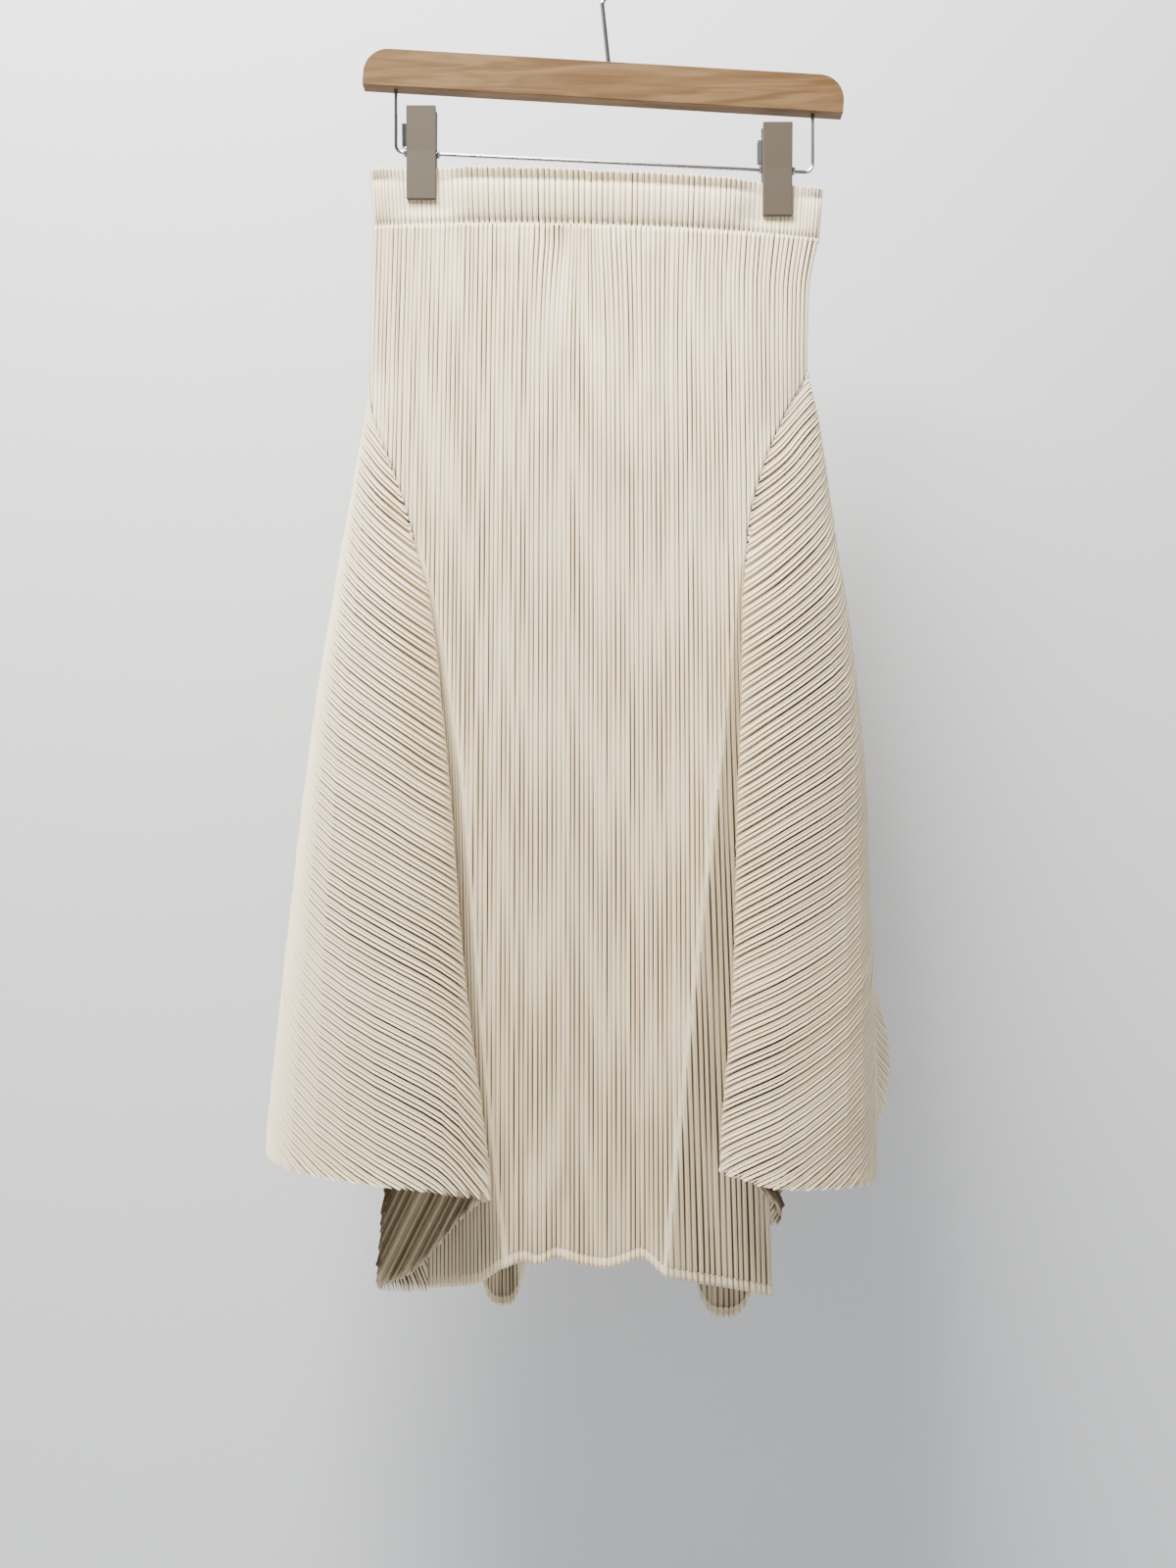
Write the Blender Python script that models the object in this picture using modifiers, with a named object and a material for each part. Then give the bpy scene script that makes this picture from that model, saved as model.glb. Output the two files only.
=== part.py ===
"""Pleated A-line skirt hanging from a wooden clip hanger.

The origin is the inside top of the hanger's hook, +Z is up, the front of the skirt faces -Y and
the wearer's right side is on -X. Sizes are in millimetres until a point is put into a mesh.
The skirt is a set of thin walls that follow one family of level sections. A section runs from the
front centre line out to the crease, back along the strip to the seam, round the turn and forward
to the roll, then over the bulge of the flap to the side, and the same way round at the back.
"""

import functools
import math

import bmesh
import bpy
import numpy as np

MM = 0.001
WELD = 0.00001

# The cloth.
WALL = 1.2
SEAM_GAP = 0.3
CORNER_GAP = 0.55
HIP_CORNER_GAP = 2.0
BAND_GAP = 1.0
CENTRE_X = -8.0
BACK_DEPTH = 0.94

# How far out from the centre line each line of the folds lies, level by level.
PLAN_COLUMNS = ("z", "crease", "seam", "turn", "roll", "side")
PLANS = {
    "left": (
        (-216, 160.0, 160.0, 160.0, 160.0, 160.0),
        (-314, 163.0, 163.0, 163.0, 163.0, 163.0),
        (-338, 161.8, 162.0, 162.2, 162.4, 163.6),
        (-356, 158.2, 158.6, 159.2, 159.8, 165.2),
        (-373, 151.7, 152.2, 153.0, 153.9, 168.0),
        (-391, 144.0, 144.6, 145.5, 146.5, 171.0),
        (-439, 127.0, 128.5, 130.5, 132.0, 179.6),
        (-492, 112.0, 117.0, 121.0, 115.5, 188.5),
        (-569, 99.0, 113.0, 120.0, 106.0, 201.0),
        (-621, 91.0, 113.0, 123.0, 100.0, 207.5),
        (-749, 80.0, 114.0, 132.0, 89.0, 222.0),
        (-868, 69.0, 115.0, 143.0, 73.0, 235.0),
        (-979, 56.0, 116.0, 153.0, 62.0, 247.0),
        (-1045, 50.0, 117.0, 157.0, 58.0, 254.0),
    ),
    "right": (
        (-216, 166.0, 166.0, 166.0, 166.0, 166.0),
        (-262, 158.0, 158.0, 158.0, 158.0, 158.0),
        (-314, 157.0, 157.0, 157.0, 157.0, 157.0),
        (-356, 137.0, 137.5, 138.5, 140.0, 164.0),
        (-391, 122.0, 122.7, 124.0, 126.0, 169.0),
        (-439, 108.5, 110.0, 112.0, 114.0, 175.5),
        (-492, 100.0, 106.0, 110.5, 106.5, 184.0),
        (-569, 92.6, 110.0, 117.0, 104.0, 192.7),
        (-621, 86.7, 113.0, 121.0, 101.0, 197.0),
        (-749, 71.0, 119.0, 127.0, 96.8, 201.0),
        (-868, 58.0, 123.0, 131.0, 86.8, 204.0),
        (-979, 47.0, 126.0, 135.0, 79.0, 207.0),
        (-1045, 41.0, 128.0, 137.0, 76.0, 209.0),
    ),
}

# How far forward of the hook each line lies, the same on both sides.
DEPTH_COLUMNS = ("z", "face", "crease", "seam", "turn", "roll", "bulge")
DEPTHS = (
    (-216, 6.0, 1.6, 1.6, 1.6, 1.6, 1.6),
    (-260, 14.0, 1.6, 1.6, 1.6, 1.6, 1.6),
    (-314, 23.0, 1.6, 1.6, 1.6, 1.6, 1.6),
    (-356, 30.0, 12.0, 11.5, 11.0, 10.5, 9.0),
    (-391, 35.0, 25.0, 24.5, 24.0, 24.0, 23.0),
    (-439, 40.0, 36.5, 35.5, 35.0, 36.0, 38.0),
    (-492, 46.0, 44.0, 38.0, 37.5, 50.0, 56.0),
    (-569, 53.0, 52.5, 38.5, 36.5, 63.0, 72.0),
    (-621, 58.0, 58.0, 40.0, 36.5, 72.0, 82.0),
    (-749, 66.0, 67.0, 43.0, 40.0, 84.0, 96.0),
    (-868, 72.0, 74.0, 45.0, 44.0, 92.0, 105.0),
    (-979, 76.0, 79.0, 47.0, 48.0, 98.0, 111.0),
    (-1045, 78.0, 81.0, 48.0, 50.0, 101.0, 114.0),
)
FACE_SQUARENESS = 4
EDGE_DRIFT = 3
BULGE_SHARE = 0.32
SHOULDER_OUT = 0.74
SHOULDER_DEEP = 0.68
LEAD_IN = 8.0

# Heights of the seams and hems.
BAND_SEAM_Z = -220.0
BAND_TILT = 0.0293
BAND_CROWN = 5.0
BAND_HALF = 165.0
HIP_POINT_Z = -314.0
FOLD_START_Z = -450.0
FRONT_HEM = ((-125, -974), (-85, -966), (-62, -952), (-30, -945), (0, -949), (30, -946), (48, -957),
             (80, -969), (112, -981))
BACK_HEM = ((-125, -955), (-62, -975), (0, -962), (48, -970), (112, -960))
TONGUES = ({"at": -64.0, "half_width": 22.0, "drop": 48.0}, {"at": 92.0, "half_width": 25.0, "drop": 62.0})
SIDE_HEM = {
    "left": {"side": -881, "bulge": -890, "roll": -898, "turn": -961, "seam": -973},
    "right": {"side": -899, "bulge": -889, "roll": -880, "turn": -914, "seam": -926},
}
BACK_HEM_RISE = {"left": 12.0, "right": 34.0}
SEAM_SEARCH_HALVINGS = 40

# Pleats.
PANEL_PLEATS_IN = 27
PANEL_PLEATS_SHOULDER = {"left": 5, "right": 6}
PANEL_PLEAT_DEPTH = 0.9
SIDE_PLEATS = 18
SIDE_PLEAT_DEPTH = 1.5
SIDE_PLEAT_FALL = 0.74
SIDE_PLEAT_FALL_INSIDE = 1.15
FALL_CHANGE = 200.0
BAND_GATHERS = 56
ROWS_ABOVE_FOLD = 4
ROWS_BELOW_FOLD = (0.0, 0.05, 0.11, 0.2, 0.36, 0.58, 0.8, 1.0)
HIP_POINT_COLUMNS = (2.0, 1.2, 0.6, 0.25)
FLAP_LINES = ("seam", "turn", "roll", "bulge", "shoulder")
ROLL_HALF = 11.0
LEG_PACKING = 0.022
SHORTEST_LEG = 0.4
NORMAL_STEP = 0.8
PANEL_NORMAL_STEP = 0.5
FULL_PLEAT_LENGTH = 120.0
SIDE_TIP_DROP = 8.0
SIDE_HEM_LAST = 3.0
SECTION_STEPS = 12
SEARCH_STEP = 0.5
LEAST_SPAN = 0.05
LINE_SHARE = 0.35
TURN_MARK = 0.55
TURN_HALF = 0.6
SEAM_MARK = 0.4

# The waistband. A row is the share of the way down, the height of its waves, and how far it is pulled in.
BAND_TOP_Z = -178.4
BAND_TOP_TILT = 0.041
BAND_ENDS = {"left": -170.0, "right": 160.0}
BAND_ROWS = ((0.0, 0.9, 0.0), (0.2, 0.25, 0.5), (0.34, 0.4, 0.0), (0.7, 0.4, 0.0), (1.0, 0.2, 0.4))
BAND_OPEN_TOP = 4.2
BAND_OPEN_SEAM = 4.6
BAND_END_DEPTH = 2.1
BAND_PINCHED = 1.8
PINCH_FLAT = 13.0
PINCH_FADE = 42.0
PINCH_BOTTOM = 0.7
END_EASE = 0.35
END_ROUND = 3.0

# The hanger.
BAR_LENGTH = 350.0
BAR_HEIGHT = 27.0
BAR_THICKNESS = 14.0
BAR_CENTRE_Z = -108.6
BAR_TILT = math.radians(3.4)
BAR_CORNER = 18.0
BAR_EDGE = 1.2
HOOK_WIRE = 1.8
HOOK_INSIDE = 20.0
HOOK_FOOT = 3.6
HOOK_DEEP = 7.0
HOOK_STEM_TOP = (-1.2, -50.0)
HOOK_ARC = (-48, 196)
HOOK_ARC_STEPS = 26
HOOK_BEND_STEPS = 7
WIRE = 1.3
WIRE_DEEP = 6.0
WIRE_LEFT = (-151.8, -158.9)
WIRE_RIGHT = (152.5, -173.2)
WIRE_BEND = 5.5
WIRE_CORNER = 267
WIRE_BEND_STEPS = 6
CLIP_WIDTH = 21.6
CLIP_HEIGHT = 67.5
CLIP_PLATE = 3.2
CLIP_X = {"left": -132.8, "right": 126.4}
CLIP_TOP_Z = {"left": -127.0, "right": -139.0}
CLIP_JAW_Y = 2.15
CLIP_LIP = 24.0
CLIP_PIVOT_Y = 1.7
CLIP_FINGER_Y = 4.6
CLIP_EDGE = 0.7
CLIP_KNUCKLE = 1.0
LEAF_PATH = ((-2.9, 21.0), (-1.5, 8.0), (-1.1, 5.2), (0.0, 4.3))
LEAF_WIDTH = 23.5
LEAF_SHIFT = -2.6
LEAF_THICK = 0.4
STOP_RADIUS = 3.0
STOP_WIDTH = 2.0
STOP_OFF = 0.35
STOP_EDGE = 0.4
STOP_STEPS = 14
WIRE_ROUNDNESS = 2
BORE_SIDES = 16
BORE_OVERRUN = 4.0
CORNER_STEPS = 8
EDGE_SEGMENTS = 2
SHARP_ANGLE = math.radians(40)
PLEAT_ANGLE = math.radians(20)


def smooth(xs, ys, x):
    """A value between the rows of a table, on a curve that doesn't overshoot."""
    xs = np.asarray(xs, float)
    ys = np.asarray(ys, float)
    if xs[0] > xs[-1]:
        xs, ys = xs[::-1], ys[::-1]
    step = np.diff(xs)
    slope = np.diff(ys) / step
    tangent = np.zeros(len(xs))
    rising = slope[:-1] * slope[1:] > 0
    tangent[1:-1][rising] = 2 * (slope[:-1] * slope[1:])[rising] / (slope[:-1] + slope[1:])[rising]
    tangent[0], tangent[-1] = slope[0], slope[-1]
    x = np.clip(x, xs[0], xs[-1])
    i = np.clip(np.searchsorted(xs, x, side="right") - 1, 0, len(step) - 1)
    t = (x - xs[i]) / step[i]
    return (ys[i] * (1 + 2 * t) * (1 - t) ** 2 + tangent[i] * step[i] * t * (1 - t) ** 2
            + ys[i + 1] * t * t * (3 - 2 * t) - tangent[i + 1] * step[i] * t * t * (1 - t))


def columns(rows, names):
    return {name: np.array([row[i] for row in rows], float) for i, name in enumerate(names)}


PLAN_TABLES = {side: columns(rows, PLAN_COLUMNS) for side, rows in PLANS.items()}
DEPTH_TABLE = columns(DEPTHS, DEPTH_COLUMNS)


@functools.lru_cache(maxsize=None)
def plan(side, line, z):
    return float(smooth(PLAN_TABLES[side]["z"], PLAN_TABLES[side][line], z))


@functools.lru_cache(maxsize=None)
def depth(line, z):
    return float(smooth(DEPTH_TABLE["z"], DEPTH_TABLE[line], z))


def through(points, steps):
    """A centripetal Catmull-Rom curve through all points but the first and last, which only lead it."""
    knots = [0.0]
    for a, b in zip(points, points[1:]):
        knots.append(knots[-1] + math.sqrt(max(math.dist(a, b), LEAST_SPAN)))
    curve = []
    for i in range(1, len(points) - 2):
        t0, t1, t2, t3 = knots[i - 1:i + 3]
        p0, p1, p2, p3 = (np.array(p, float) for p in points[i - 1:i + 3])
        for k in range(steps):
            t = t1 + (t2 - t1) * k / steps
            a1 = (t1 - t) / (t1 - t0) * p0 + (t - t0) / (t1 - t0) * p1
            a2 = (t2 - t) / (t2 - t1) * p1 + (t - t1) / (t2 - t1) * p2
            a3 = (t3 - t) / (t3 - t2) * p2 + (t - t2) / (t3 - t2) * p3
            b1 = (t2 - t) / (t2 - t0) * a1 + (t - t0) / (t2 - t0) * a2
            b2 = (t3 - t) / (t3 - t1) * a2 + (t - t1) / (t3 - t1) * a3
            curve.append((t2 - t) / (t2 - t1) * b1 + (t - t1) / (t2 - t1) * b2)
    curve.append(np.array(points[-2], float))
    return np.array(curve)


def cloth_reach(side):
    """The panel's half width in the cloth itself, at the hip and where the fold starts."""
    return plan(side, "side", HIP_POINT_Z), plan(side, "seam", FOLD_START_Z)


def panel_point(side, across, z):
    """Where the front panel lies at a distance across the cloth: how far out, and how far forward."""
    widest, inner = cloth_reach(side)
    crease, crease_deep = plan(side, "crease", z), depth("crease", z)
    if z >= FOLD_START_Z:
        seam, seam_deep = plan(side, "seam", z), depth("seam", z)
        drift = plan(side, "side", max(z, HIP_POINT_Z)) - widest
        out = across + drift * (across / widest) ** EDGE_DRIFT
        share = min(out / seam, 1.0)
        face = depth("face", z)
        return out, face + (seam_deep - face) * share ** FACE_SQUARENESS
    if across <= crease:
        face = depth("face", z)
        return across, face + (crease_deep - face) * (across / crease) ** FACE_SQUARENESS
    share = (across - crease) / (inner - crease)
    seam, seam_deep = plan(side, "seam", z), depth("seam", z)
    return crease + (seam - crease) * share, crease_deep + (seam_deep - crease_deep) * share


@functools.lru_cache(maxsize=None)
def side_section(side, z):
    """The side panel's level section, as points (out, forward) and the length along it from the side."""
    crease = (plan(side, "crease", z), depth("crease", z))
    seam = (plan(side, "seam", z), depth("seam", z))
    turn = (plan(side, "turn", z), depth("turn", z))
    roll = (plan(side, "roll", z), depth("roll", z))
    reach = plan(side, "side", z)
    bulge = (roll[0] + BULGE_SHARE * (reach - roll[0]), depth("bulge", z))
    shoulder = (bulge[0] + SHOULDER_OUT * (reach - bulge[0]), SHOULDER_DEEP * bulge[1])
    lead = (crease[0] - LEAD_IN, crease[1]) if z >= FOLD_START_Z else crease
    front = [lead, seam, turn, roll, bulge, shoulder]
    back = [(out, -BACK_DEPTH * deep) for out, deep in reversed(front)]
    curve = through(front + [(reach, 0.0)] + back, SECTION_STEPS)
    length = np.concatenate([[0.0], np.cumsum(np.linalg.norm(np.diff(curve, axis=0), axis=1))])
    middle = len(FLAP_LINES) * SECTION_STEPS
    return curve, length - length[middle]


def between(start, end, share):
    return start + (end - start) * share


def outward(before, after):
    """The unit normal on the outer side of a path walked outward along the front."""
    walk = np.asarray(after) - np.asarray(before)
    normal = np.array([-walk[1], walk[0]])
    return normal / max(np.linalg.norm(normal), 1e-9)


def ridge_or_groove(line):
    """Pleat lines go out and in by turns."""
    return 1.0 if line % 2 else -1.0


def place(side, out, forward, z):
    sign = -1.0 if side == "left" else 1.0
    return CENTRE_X + sign * out, -forward, z


def solid_wall(name, points, faces, material, thickness=WALL):
    """An open sheet of cloth as a wall whose given points are its outer side."""
    mesh = bpy.data.meshes.new(name)
    mesh.from_pydata([tuple(c * MM for c in p) for p in points], [], faces)
    mesh.validate()
    mesh.shade_smooth()
    mesh.set_sharp_from_angle(angle=PLEAT_ANGLE)
    piece = bpy.data.objects.new(name, mesh)
    collection.objects.link(piece)
    piece.data.materials.append(material)
    solidify = piece.modifiers.new("Wall", "SOLIDIFY")
    solidify.thickness = thickness * MM
    solidify.offset = -1.0
    return piece


def grid_faces(rows, columns, first=0, flip=False):
    faces = []
    for r in range(rows - 1):
        for c in range(columns - 1):
            a = first + r * columns + c
            face = (a, a + columns, a + columns + 1, a + 1)
            faces.append(face[::-1] if flip else face)
    return faces


def band_seam_z(x):
    middle = x - CENTRE_X
    return BAND_SEAM_Z - BAND_TILT * middle + BAND_CROWN * (1 - (middle / BAND_HALF) ** 2)


def hem_z(table, tongues, across):
    value = float(smooth([row[0] for row in table], [row[1] for row in table], across))
    for tongue in tongues:
        away = min(abs(across - tongue["at"]) / tongue["half_width"], 1.0)
        value -= tongue["drop"] * (1 - away ** 2)
    return value


def seam_height(side, across):
    """The height at which the curved hip seam crosses a line of the panel's cloth."""
    high, low = HIP_POINT_Z, FOLD_START_Z
    for _ in range(SEAM_SEARCH_HALVINGS):
        middle = (high + low) / 2
        if plan(side, "seam", middle) > across:
            high = middle
        else:
            low = middle
    return (high + low) / 2


def panel(name, face, hem, tongues, material):
    """The front or back panel: pleats straight down the cloth, cut away along the hip seams."""
    points = []
    faces = []
    mirror = 1.0 if face == "front" else -BACK_DEPTH
    sign = {"left": -1.0, "right": 1.0}
    inner = {side: cloth_reach(side)[1] for side in sign}

    def vertex(across, z, ridge, edge):
        side = "left" if across < 0 else "right"
        away = abs(across)
        here = np.array(panel_point(side, away, z))
        before = panel_point(side, max(away - PANEL_NORMAL_STEP, 0.0), z)
        after = panel_point(side, away + PANEL_NORMAL_STEP, z)
        here = here + outward(before, after) * ridge * PANEL_PLEAT_DEPTH * edge
        points.append(place(side, here[0], here[1] * mirror, z))

    total_in = PANEL_PLEATS_IN * 2
    across_in = [between(-inner["left"], inner["right"], j / total_in) for j in range(total_in + 1)]
    rows = ROWS_ABOVE_FOLD + len(ROWS_BELOW_FOLD)
    for j, across in enumerate(across_in):
        top = band_seam_z(CENTRE_X + across) - BAND_GAP
        bottom = hem_z(hem, tongues, across)
        above = [top + (FOLD_START_Z - top) * i / ROWS_ABOVE_FOLD for i in range(ROWS_ABOVE_FOLD)]
        below = [FOLD_START_Z + (bottom - FOLD_START_Z) * share for share in ROWS_BELOW_FOLD]
        ridge = ridge_or_groove(j)
        edge = 0.0 if j in (0, total_in) else 1.0
        for i, z in enumerate(above + below):
            at_edge = edge if i >= ROWS_ABOVE_FOLD else 1.0
            vertex(across, z, ridge, at_edge)
    faces += grid_faces(len(across_in), rows, flip=(face == "front"))
    for side in ("left", "right"):
        widest = cloth_reach(side)[0]
        count = PANEL_PLEATS_SHOULDER[side] * 2
        start = 0 if side == "left" else total_in
        previous = [start * rows + i for i in range(ROWS_ABOVE_FOLD + 1)]
        aways = [inner[side] + (widest - inner[side]) * j / count for j in range(1, count)]
        aways += [widest - distance for distance in HIP_POINT_COLUMNS] + [widest]
        for j, away in enumerate(aways, start=1):
            across = away * sign[side]
            top = band_seam_z(CENTRE_X + across) - BAND_GAP
            bottom = seam_height(side, away) if away < widest else HIP_POINT_Z
            first = len(points)
            ridge = ridge_or_groove(j)
            for i in range(ROWS_ABOVE_FOLD + 1):
                z = top + (bottom - top) * i / ROWS_ABOVE_FOLD
                edge = 0.0 if j >= count or i == ROWS_ABOVE_FOLD else 1.0
                vertex(across, z, ridge, edge)
            current = [first + i for i in range(ROWS_ABOVE_FOLD + 1)]
            for i in range(ROWS_ABOVE_FOLD):
                quad = (previous[i], previous[i + 1], current[i + 1], current[i])
                turned = (side == "left") != (face == "back")
                faces.append(quad[::-1] if turned else quad)
            previous = current
    return solid_wall(name, points, faces, material)


def pleat_drop(along):
    """How far a side pleat has fallen at a length along the section from the side."""
    outer = min(along, FALL_CHANGE)
    return SIDE_PLEAT_FALL * outer + SIDE_PLEAT_FALL_INSIDE * (along - outer)


def line_lengths(side, face, z):
    """How far along the level section each line of the flap lies from the side."""
    _, length = side_section(side, z)
    if face == "back":
        length = -length[::-1]
    return {name: -length[i * SECTION_STEPS] for i, name in enumerate(FLAP_LINES)}


def side_hem_table(side, face):
    """The flap's hem as heights against the length along the section from the side."""
    heights = SIDE_HEM[side]
    lengths = line_lengths(side, face, heights["roll"])
    rise = BACK_HEM_RISE[side] if face == "back" else 0.0
    table = [(0.0, heights["side"])]
    for line in ("bulge", "roll", "turn", "seam"):
        share = min(lengths[line] / lengths["roll"], 1.0)
        table.append((lengths[line], heights[line] + rise * share))
    return table


def pleat_leg(side, face, start_z, hem):
    """Where a pleat that starts at the side crosses the lines of the flap, as far as the seam or the hem."""
    crossed = {}
    along = 0.0
    while True:
        along += SEARCH_STEP
        z = start_z - pleat_drop(along)
        lines = line_lengths(side, face, float(round(z)))
        for name in FLAP_LINES:
            if name not in crossed and along >= lines[name]:
                crossed[name] = along
        end = lines["seam"] - (HIP_CORNER_GAP if z > FOLD_START_Z else CORNER_GAP)
        if along > end:
            stop = max(end, SHORTEST_LEG)
            break
        if z < float(smooth(*zip(*hem), along)):
            stop = along
            break
    at = {name: crossed.get(name, lines[name]) for name in FLAP_LINES}
    roll_room = min(at["roll"] - at["bulge"], at["turn"] - at["roll"])
    roll_half = min(ROLL_HALF, LINE_SHARE * roll_room)
    marks = [at["shoulder"] / 2, at["shoulder"], at["bulge"], at["roll"] - roll_half, at["roll"],
             at["roll"] + roll_half, between(at["roll"], at["turn"], TURN_MARK), at["turn"] - TURN_HALF * roll_half,
             between(at["turn"], at["seam"], SEAM_MARK), stop]
    last = len(marks) - 1
    return [min(mark, stop * (1 - LEG_PACKING * (last - i))) for i, mark in enumerate(marks)]


def side_panel(side, material):
    """A flared side panel: pleats fall from the side to the seams in front and behind."""
    points = []
    rows = SIDE_PLEATS * 2
    first_z = HIP_POINT_Z - SIDE_TIP_DROP
    last_z = SIDE_HEM[side]["side"] + SIDE_HEM_LAST
    hems = {face: side_hem_table(side, face) for face in ("front", "back")}
    for k in range(rows + 1):
        start_z = first_z + (last_z - first_z) * k / rows
        front = pleat_leg(side, "front", start_z, hems["front"])
        back = pleat_leg(side, "back", start_z, hems["back"])
        steps = [-along for along in reversed(front)] + [0.0] + back
        ridge = ridge_or_groove(k)
        deep = SIDE_PLEAT_DEPTH * min(1.0, (front[-1] + back[-1]) / FULL_PLEAT_LENGTH)
        for i, along in enumerate(steps):
            z = start_z - pleat_drop(abs(along))
            curve, length = side_section(side, z)
            here, before, after = (
                np.array([np.interp(s, length, curve[:, 0]), np.interp(s, length, curve[:, 1])])
                for s in (along, along - NORMAL_STEP, along + NORMAL_STEP))
            edge = 0.0 if i in (0, len(steps) - 1) else 1.0
            here = here + outward(before, after) * ridge * deep * edge
            points.append(place(side, here[0], here[1], z))
    faces = grid_faces(rows + 1, len(steps), flip=(side == "left"))
    return solid_wall("side_panel_" + side, points, faces, material)


def band_top_z(x):
    middle = x - CENTRE_X
    return BAND_TOP_Z - BAND_TOP_TILT * middle + BAND_CROWN * (1 - (middle / BAND_HALF) ** 2)


def clip_pinch(x):
    """1 where a clip holds the band flat, fading to 0 away from it."""
    away = min(abs(x - clip_x) for clip_x in CLIP_X.values())
    share = np.clip((away - PINCH_FLAT) / (PINCH_FADE - PINCH_FLAT), 0.0, 1.0)
    return 0.5 + 0.5 * math.cos(math.pi * share)


def waistband(material):
    """The elastic casing and its gathered header, one ring: flat under the clips, open between them."""
    points = []
    half = BAND_GATHERS
    left, right = BAND_ENDS["left"], BAND_ENDS["right"]
    for share, wave, tuck in BAND_ROWS:
        for i in range(2 * half):
            front = i < half
            along = (i if front else 2 * half - i) / half
            eased = (1 - math.cos(math.pi * along)) / 2
            x = between(left, right, between(along, eased, END_EASE))
            from_end = min(x - left, right - x)
            round_end = math.sqrt(1 - (1 - min(from_end / END_ROUND, 1.0)) ** 2)
            open_here = between(BAND_OPEN_TOP, BAND_OPEN_SEAM, share)
            off_centre = abs(2 * (x - left) / (right - left) - 1)
            face = open_here * (1 - off_centre ** FACE_SQUARENESS) + BAND_END_DEPTH
            hold = clip_pinch(x) * float(np.clip((1 - share) / (1 - PINCH_BOTTOM), 0.0, 1.0))
            deep = (face * (1 - hold) + BAND_PINCHED * hold) * round_end
            if from_end >= END_ROUND:
                deep += (ridge_or_groove(i) * wave - tuck) * (1 - clip_pinch(x))
            z = between(band_top_z(x), band_seam_z(x), share)
            points.append((x, -deep if front else deep * BACK_DEPTH, z))
    count = 2 * half
    faces = []
    for r in range(len(BAND_ROWS) - 1):
        for i in range(count):
            a, b = r * count + i, r * count + (i + 1) % count
            faces.append((a, a + count, b + count, b))
    return solid_wall("waistband", points, faces, material)


def round_wire(name, path, radius, material):
    """A bent wire with flat ends, along a list of points."""
    curve = bpy.data.curves.new(name, "CURVE")
    curve.dimensions = "3D"
    spline = curve.splines.new("POLY")
    spline.points.add(len(path) - 1)
    for point, (x, y, z) in zip(spline.points, path):
        point.co = (x * MM, y * MM, z * MM, 1.0)
    curve.bevel_depth = radius * MM
    curve.bevel_resolution = WIRE_ROUNDNESS
    curve.use_fill_caps = True
    wire = bpy.data.objects.new(name, curve)
    collection.objects.link(wire)
    wire.data.materials.append(material)
    weld = wire.modifiers.new("Caps", "WELD")
    weld.merge_threshold = WELD
    return wire


def flat_outline(name, outline, thickness, material, bevel):
    """A flat shape cut from a sheet: an outline in its own plane, with its edges rounded."""
    curve = bpy.data.curves.new(name, "CURVE")
    curve.dimensions = "2D"
    curve.fill_mode = "BOTH"
    curve.extrude = thickness / 2 * MM
    spline = curve.splines.new("POLY")
    spline.points.add(len(outline) - 1)
    for point, (u, v) in zip(spline.points, outline):
        point.co = (u * MM, v * MM, 0.0, 1.0)
    spline.use_cyclic_u = True
    shape = bpy.data.objects.new(name, curve)
    collection.objects.link(shape)
    shape.data.materials.append(material)
    weld = shape.modifiers.new("Caps", "WELD")
    weld.merge_threshold = WELD
    rounding = shape.modifiers.new("Rounded edges", "BEVEL")
    rounding.width = bevel * MM
    rounding.segments = EDGE_SEGMENTS
    rounding.limit_method = "ANGLE"
    rounding.angle_limit = SHARP_ANGLE
    return shape


def as_mesh(shape):
    """A curve with its modifiers turned into a mesh object of the same name and place."""
    bpy.context.view_layer.update()
    name = shape.name
    evaluated = shape.evaluated_get(bpy.context.evaluated_depsgraph_get())
    mesh = bpy.data.meshes.new_from_object(evaluated)
    build = bmesh.new()
    build.from_mesh(mesh)
    bmesh.ops.remove_doubles(build, verts=build.verts, dist=WELD)
    build.to_mesh(mesh)
    build.free()
    mesh.set_sharp_from_angle(angle=SHARP_ANGLE)
    solid = bpy.data.objects.new(name, mesh)
    solid.matrix_world = shape.matrix_world.copy()
    bpy.data.objects.remove(shape)
    collection.objects.link(solid)
    solid.name = name
    return solid


def bore(solid, x, z_low, z_high, radius):
    """An upright hole for a wire's end."""
    bpy.ops.mesh.primitive_cylinder_add(vertices=BORE_SIDES, radius=radius * MM, depth=(z_high - z_low) * MM,
                                        location=(x * MM, 0.0, (z_low + z_high) / 2 * MM))
    cutter = bpy.context.object
    cutter.name = "bore_cutter"
    for home in list(cutter.users_collection):
        home.objects.unlink(cutter)
    cutters.objects.link(cutter)
    cutter.hide_render = True
    cutter.display_type = "WIRE"
    cut = solid.modifiers.new("Bore", "BOOLEAN")
    cut.operation = "DIFFERENCE"
    cut.solver = "EXACT"
    cut.object = cutter


def arc(centre, radius, start, end, steps):
    """Points round an arc, angles in degrees."""
    turns = [math.radians(start + (end - start) * i / steps) for i in range(steps + 1)]
    return [(centre[0] + radius * math.cos(t), centre[1] + radius * math.sin(t)) for t in turns]


def wire_z(x):
    (x0, z0), (x1, z1) = WIRE_LEFT, WIRE_RIGHT
    return z0 + (z1 - z0) * (x - x0) / (x1 - x0)


def bar_face_z(x, side):
    """The height of the bar's top (side 1) or underside (side -1)."""
    return BAR_CENTRE_Z - x * math.tan(BAR_TILT) + side * BAR_HEIGHT / 2 / math.cos(BAR_TILT)


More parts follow.
